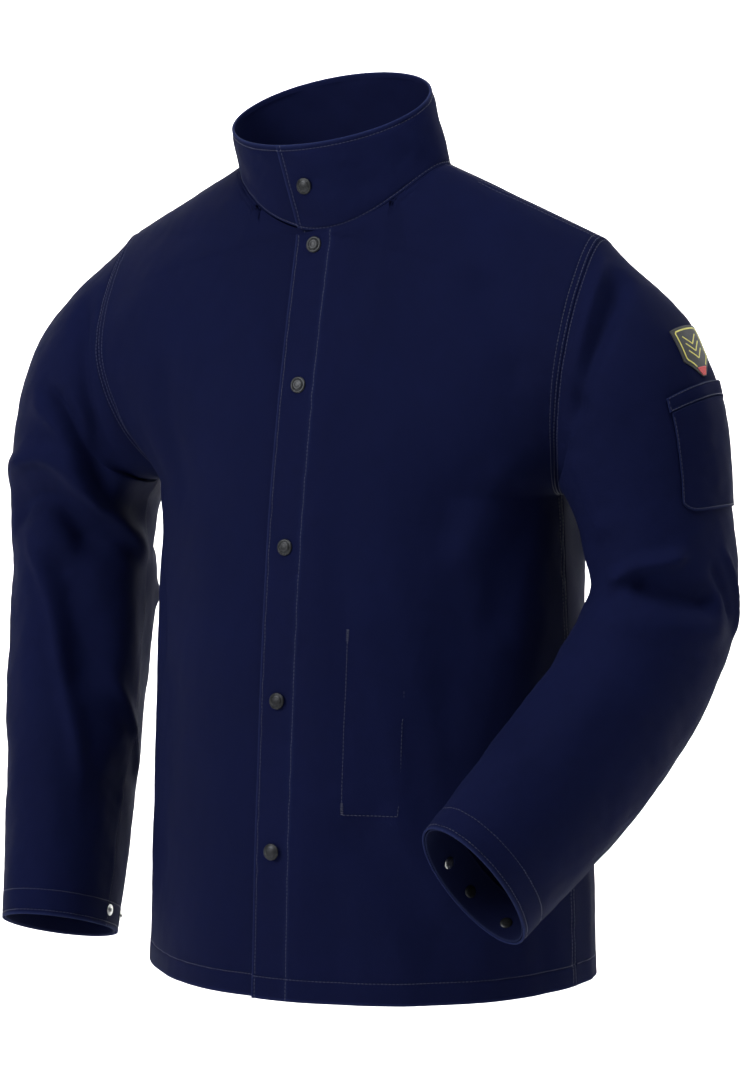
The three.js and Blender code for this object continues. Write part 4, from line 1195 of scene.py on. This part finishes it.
def edgeRun(place, d):
    o, n, e = place["outer"], place["normal"], place["edge"]
    col = int(np.abs(along(o, 1)[len(o) // 2] - d).argmin())
    row = int(np.abs(along(o, 0)[:, o.shape[1] // 2] - d).argmin())
    m = o.shape[1] - 1 - col
    q = len(o) - 1 - row
    return [(o[row:q, col], n[row:q, col]), (o[row, col:m + 1], n[row, col:m + 1]), (o[row:q, m], n[row:q, m])], \
           (o[q, col:m + 1], n[q, col:m + 1])


pocketPatch, pocketPlace = sleevePatch("sleeve_pocket_cloth", pocketOutline, 0.75, 1.5, 60, 70)
bandPatch, bandPlace = sleevePatch("sleeve_pocket_band_cloth", bandOutline, 0.6, 2.3, 60, 14, 0.08)
pocketRuns, pocketTopRun = edgeRun(pocketPlace, 2.2)
bandRuns, bandTopRun = edgeRun(bandPlace, 2.0)
pocketThread = stitchMesh("sleeve_pocket_stitching", [*pocketRuns, *bandRuns, bandTopRun])

shield = {"point": 0.12, "widen": 2.4}


def badgeOutline(a, b):
    half = patches["badgeTurn"] * np.minimum(1, shield["point"] + shield["widen"] * b)
    return 1 + half * (1 - 2 * a), patches["badgeLow"] + (patches["badgeTop"] - patches["badgeLow"]) * b + 0 * a


badge, badgePlace = sleevePatch("sleeve_badge_cloth", badgeOutline, 0.3, 1.1, 40, 50, 0.02)


# embroidered bar on the badge along a run of (a, b) points, width in mm
def badgeBar(points, width, steps=24):
    points = np.array(points, float)
    step = np.r_[0, np.cumsum(np.linalg.norm(np.diff(points, axis=0), axis=1))]
    t = np.linspace(0, step[-1], steps)
    a, b = (np.interp(t, step, points[:, k]) for k in (0, 1))
    deg, u = badgeOutline(a, b)
    p, n = sleevePoint(arms["left"], np.radians(deg), u)
    p = p + n * (clothHeight(deg, u) + 1.35)[:, None]
    way = unit(np.gradient(p, axis=0))
    across = unit(np.cross(way, n))
    ring = np.arange(8) * np.pi / 4
    tube = p[:, None] + across[:, None] * (np.cos(ring) * width / 2)[None, :, None] \
        + n[:, None] * (np.sin(ring) * 0.35)[None, :, None]
    faces = [(j * 8 + c, j * 8 + (c + 1) % 8, j * 8 + 8 + (c + 1) % 8, j * 8 + 8 + c)
             for j in range(steps - 1) for c in range(8)]
    return tube.reshape(-1, 3), faces + [tuple(range(7, -1, -1)), tuple((steps - 1) * 8 + c for c in range(8))]


def joinedBars(name, runs, width):
    points, faces = [], []
    for run in runs:
        p, f = badgeBar(run, width)
        base = sum(len(x) for x in points)
        points.append(p)
        faces += [[k + base for k in face] for face in f]
    made = meshObject(name, np.concatenate(points), faces)
    work = bmesh.new()
    work.from_mesh(made.data)
    bmesh.ops.recalc_face_normals(work, faces=work.faces)
    work.to_mesh(made.data)
    work.free()
    return made


yellowRuns = [
    [(0.10, 0.42), (0.10, 0.93), (0.90, 0.93), (0.90, 0.42)],
    [(0.10, 0.42), (0.20, 0.20)], [(0.90, 0.42), (0.80, 0.20)],
    [(0.26, 0.80), (0.50, 0.62), (0.74, 0.80)], [(0.26, 0.66), (0.50, 0.48), (0.74, 0.66)],
    [(0.26, 0.52), (0.50, 0.34), (0.74, 0.52)],
]
redRuns = [[(0.18, b), (0.82, b)] for b in (0.04, 0.08, 0.12, 0.16)]
yellowBars = joinedBars("sleeve_badge_yellow", yellowRuns, 1.5)
redBars = joinedBars("sleeve_badge_red", redRuns, 2.0)
for piece, material, slotName, nodes, flat in (
        (pocketPatch, navyCloth, "shell_cloth", ["sleeve_pocket"], (0.100, 0.070)),
        (bandPatch, navyCloth, "shell_cloth", ["sleeve_pocket_band"], (0.104, 0.009)),
        (badge, blackPatch, "badge_cloth", ["sleeve_badge"], (0.044, 0.030))):
    bent(finished(piece, material))
    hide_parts(*nodes)
bent(finished(pocketThread, navyThread))
bent(finished(yellowBars, yellowThread))
bent(finished(redBars, redThread))

# ---------- snaps ----------

cap = {"radius": 7.5, "high": 2.9}
capProfile = [(0, -0.4), (2, -0.4), (2, 0), (6.6, 0), (7.2, 0.12), (7.5, 0.5), (7.42, 0.95), (7.1, 1.3), (6.7, 1.5),
              (6.3, 1.56), (6.0, 1.5), (5.75, 1.62), (5.3, 1.9), (4.6, 2.2), (3.8, 2.42), (3.3, 2.5), (3.05, 2.42),
              (2.8, 2.5), (2.0, 2.64), (1.0, 2.72), (0, 2.74)]
socketProfile = [(2.6, 0), (3.0, 0.12), (5.1, 0.12), (5.5, -0.2), (5.5, -0.9), (5.1, -1.2), (3.0, -1.2), (2.6, -1.0),
                 (2.6, 0)]
studProfile = [(0, -0.2), (1.6, -0.2), (1.6, 0), (5.1, 0), (5.5, 0.2), (5.4, 0.55), (3.0, 0.65), (2.3, 0.8),
               (1.9, 1.2), (2.05, 1.7), (1.7, 2.05), (0.9, 2.2), (0, 2.22)]
postProfile = [(0, -1.2), (3.4, -1.2), (4.9, -0.95), (5.5, -0.45), (5.3, 0), (0, 0)]


def frontPlace(node):
    at = middle(node)
    z = at[2]
    v = crossing(lambda x: body(True, 1, np.zeros(x.shape), x)[..., 2] - z, 0, cut["vFront"], (1,))
    e = 1e-3
    zero = np.zeros(1)
    p = body(True, 1, zero, v)[0]
    across = body(True, 1, zero + e, v)[0] - body(True, 1, zero - e, v)[0]
    upward = body(True, 1, zero, v + e)[0] - body(True, 1, zero, v - e)[0]
    return p, unit(np.cross(across, upward))


def collarPlace():
    e = 1e-3
    p = collar(1, np.array(0.0), np.array(0.52))
    across = collar(1, np.array(e), np.array(0.52)) - collar(1, np.array(-e), np.array(0.52))
    upward = collar(1, np.array(0.0), np.array(0.52 + e)) - collar(1, np.array(0.0), np.array(0.52 - e))
    return p, unit(np.cross(across, upward))


def hardware(name, place, height, pairs, material, bodyName, node, segments=40):
    p, n = place
    made = turned(name, (p + n * height, n), pairs, segments)
    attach(finished(made, material), bodyName)
    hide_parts(node)
    return made


for i in range(1, 7):
    place = collarPlace() if i == 1 else frontPlace(f"snap_cap_{i}")
    face = cut["collarOver"] if i == 1 else cut["over"] + 0.35
    wallHere = collarCloth["wall"] if i == 1 else fronts["wall"] + 0.8 + facings["gap"] + facings["wall"]
    hardware(f"snap_cap_{i}_head", place, face, capProfile, gunMetal, "left_front", f"snap_cap_{i}")
    hardware(f"snap_socket_{i}_ring", place, face - wallHere - 0.45, socketProfile, brightMetal,
             "left_front", f"snap_socket_{i}", 32)
    hardware(f"snap_stud_{i}_head", place, cut["under"] + 0.4, studProfile, brightMetal,
             "right_front", f"snap_stud_{i}", 32)
    hardware(f"snap_post_{i}_back", place, cut["under"] - wallHere - 0.15, postProfile, gunMetal,
             "right_front", f"snap_post_{i}", 32)

for k, a in arms.items():
    lastRun = sleevePlace[k]["run"]
    for node, deg in ((f"{k}_cuff_stud_1", 187.5), (f"{k}_cuff_stud_2", 217.5), (f"{k}_cuff_cap", 262.5)):
        _, n = sleevePoint(a, np.radians(deg), np.array(1 - 16 / lastRun))
        place = (sleevePoint(a, np.radians(deg), np.array(1 - 16 / lastRun))[0], n)
        shape = capProfile if node.endswith("cap") else studProfile
        metal, slotName = (gunMetal, "dark_metal") if node.endswith("cap") else (brightMetal, "bright_metal")
        hardware(node + "_head", place, 0.45, shape, metal, f"{k}_lower_sleeve", node)
        rivet = turned(node + "_back", (place[0] - n * 4.0, n), postProfile, 32)
        # the first stud's back is bright metal; the other two backs are blackened metal, painted shade inside the cuff
        if node.endswith("1"):
            finished(rivet, brightMetal)
        else:
            finished(rivet, gunMetal)
        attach(rivet, f"{k}_lower_sleeve")
print("hardware made")

# ---------- floor, light and camera ----------

stageValues = {"drop": 0.16, "reach": 4.0, "curve": 1.6}


def seamlessFloor():
    floorZ = cadLow.z - stageValues["drop"]
    t = np.linspace(0, np.pi / 2, 24)
    r = stageValues["curve"]
    y = np.r_[-7, 1.6 + np.r_[0, r * np.sin(t)], 1.6 + r]
    z = np.r_[0, 0, r * (1 - np.cos(t)), 7] + floorZ
    c, s = math.cos(math.radians(30)), math.sin(math.radians(30))
    x = np.array([-7.0, 7.0])
    points = np.stack([x[:, None] * c - y * s, x[:, None] * s + y * c, 0 * x[:, None] + z], -1)
    n = len(y)
    faces = [(i, n + i, n + i + 1, i + 1) for i in range(n - 1)]
    return meshObject("floor", points.reshape(-1, 3) / mm, faces)


floor = seamlessFloor()
pale, tree, shader = blankMaterial("pale floor")
shader.inputs["Base Color"].default_value = (0.93, 0.93, 0.93, 1)
shader.inputs["Roughness"].default_value = 0.9
# the wall is seen from its lit side only, so that the jacket's back can be looked at
clear = addNode(tree, "ShaderNodeBsdfTransparent")
either = addNode(tree, "ShaderNodeMixShader", {0: addNode(tree, "ShaderNodeNewGeometry").outputs["Backfacing"]})
tree.links.new(shader.outputs[0], either.inputs[1])
tree.links.new(clear.outputs[0], either.inputs[2])
output = next(x for x in tree.nodes if x.type == "OUTPUT_MATERIAL")
tree.links.new(either.outputs[0], output.inputs["Surface"])
floor.data.materials.append(pale)

aim = Vector((0.0075, 0, -0.345))


def areaLight(name, azimuth, elevation, distance, size, power, colour=(1, 1, 1)):
    a, e = math.radians(azimuth), math.radians(elevation)
    back = Vector((math.sin(a) * math.cos(e), -math.cos(a) * math.cos(e), math.sin(e)))
    data = bpy.data.lights.new(name, "AREA")
    data.shape = "RECTANGLE"
    data.size, data.size_y = size
    data.energy = power
    data.color = colour
    lamp = bpy.data.objects.new(name, data)
    lamp.location = aim + back * distance
    lamp.rotation_mode = "QUATERNION"
    lamp.rotation_quaternion = (-back).to_track_quat("-Z", "Y")
    scene.collection.objects.link(lamp)
    return lamp


areaLight("key", -26, 26, 3.0, (1.0, 1.6), 66)
areaLight("fill", 80, 10, 3.6, (1.6, 2.2), 2.5)
areaLight("top", 62, 66, 2.6, (1.4, 1.4), 46, (0.90, 0.95, 1))
areaLight("rim", 160, 42, 3.0, (1.2, 1.8), 16, (0.90, 0.95, 1))
wash = areaLight("backdrop light", 210, 62, 2.6, (4, 3), 260)
wash.rotation_quaternion = Vector((-0.45, 0.78, -0.45)).to_track_quat("-Z", "Y")
world = bpy.data.worlds.new("studio")
scene.world = world
world.use_nodes = True
world.node_tree.nodes["Background"].inputs["Color"].default_value = (1, 1, 1, 1)
# soft light all round, and plain white where the camera sees past the floor
seen = addNode(world.node_tree, "ShaderNodeLightPath").outputs["Is Camera Ray"]
strength = mathNode(world.node_tree, "MULTIPLY_ADD", seen, 0.84, 0.14)
world.node_tree.links.new(strength, world.node_tree.nodes["Background"].inputs["Strength"])
scene.view_settings.view_transform = "Standard"

eye = {"azimuth": 30.0, "elevation": 5.2, "distance": 3.6, "lens": 128.5}
a, e = math.radians(eye["azimuth"]), math.radians(eye["elevation"])
back = Vector((math.sin(a) * math.cos(e), -math.cos(a) * math.cos(e), math.sin(e)))
data = bpy.data.cameras.new("camera")
data.sensor_width, data.lens = 36.0, eye["lens"]
camera = bpy.data.objects.new("camera", data)
camera.location = aim + back * eye["distance"]
camera.rotation_mode = "QUATERNION"
camera.rotation_quaternion = (-back).to_track_quat("-Z", "Y")
scene.collection.objects.link(camera)
scene.camera = camera

print("scene ready")
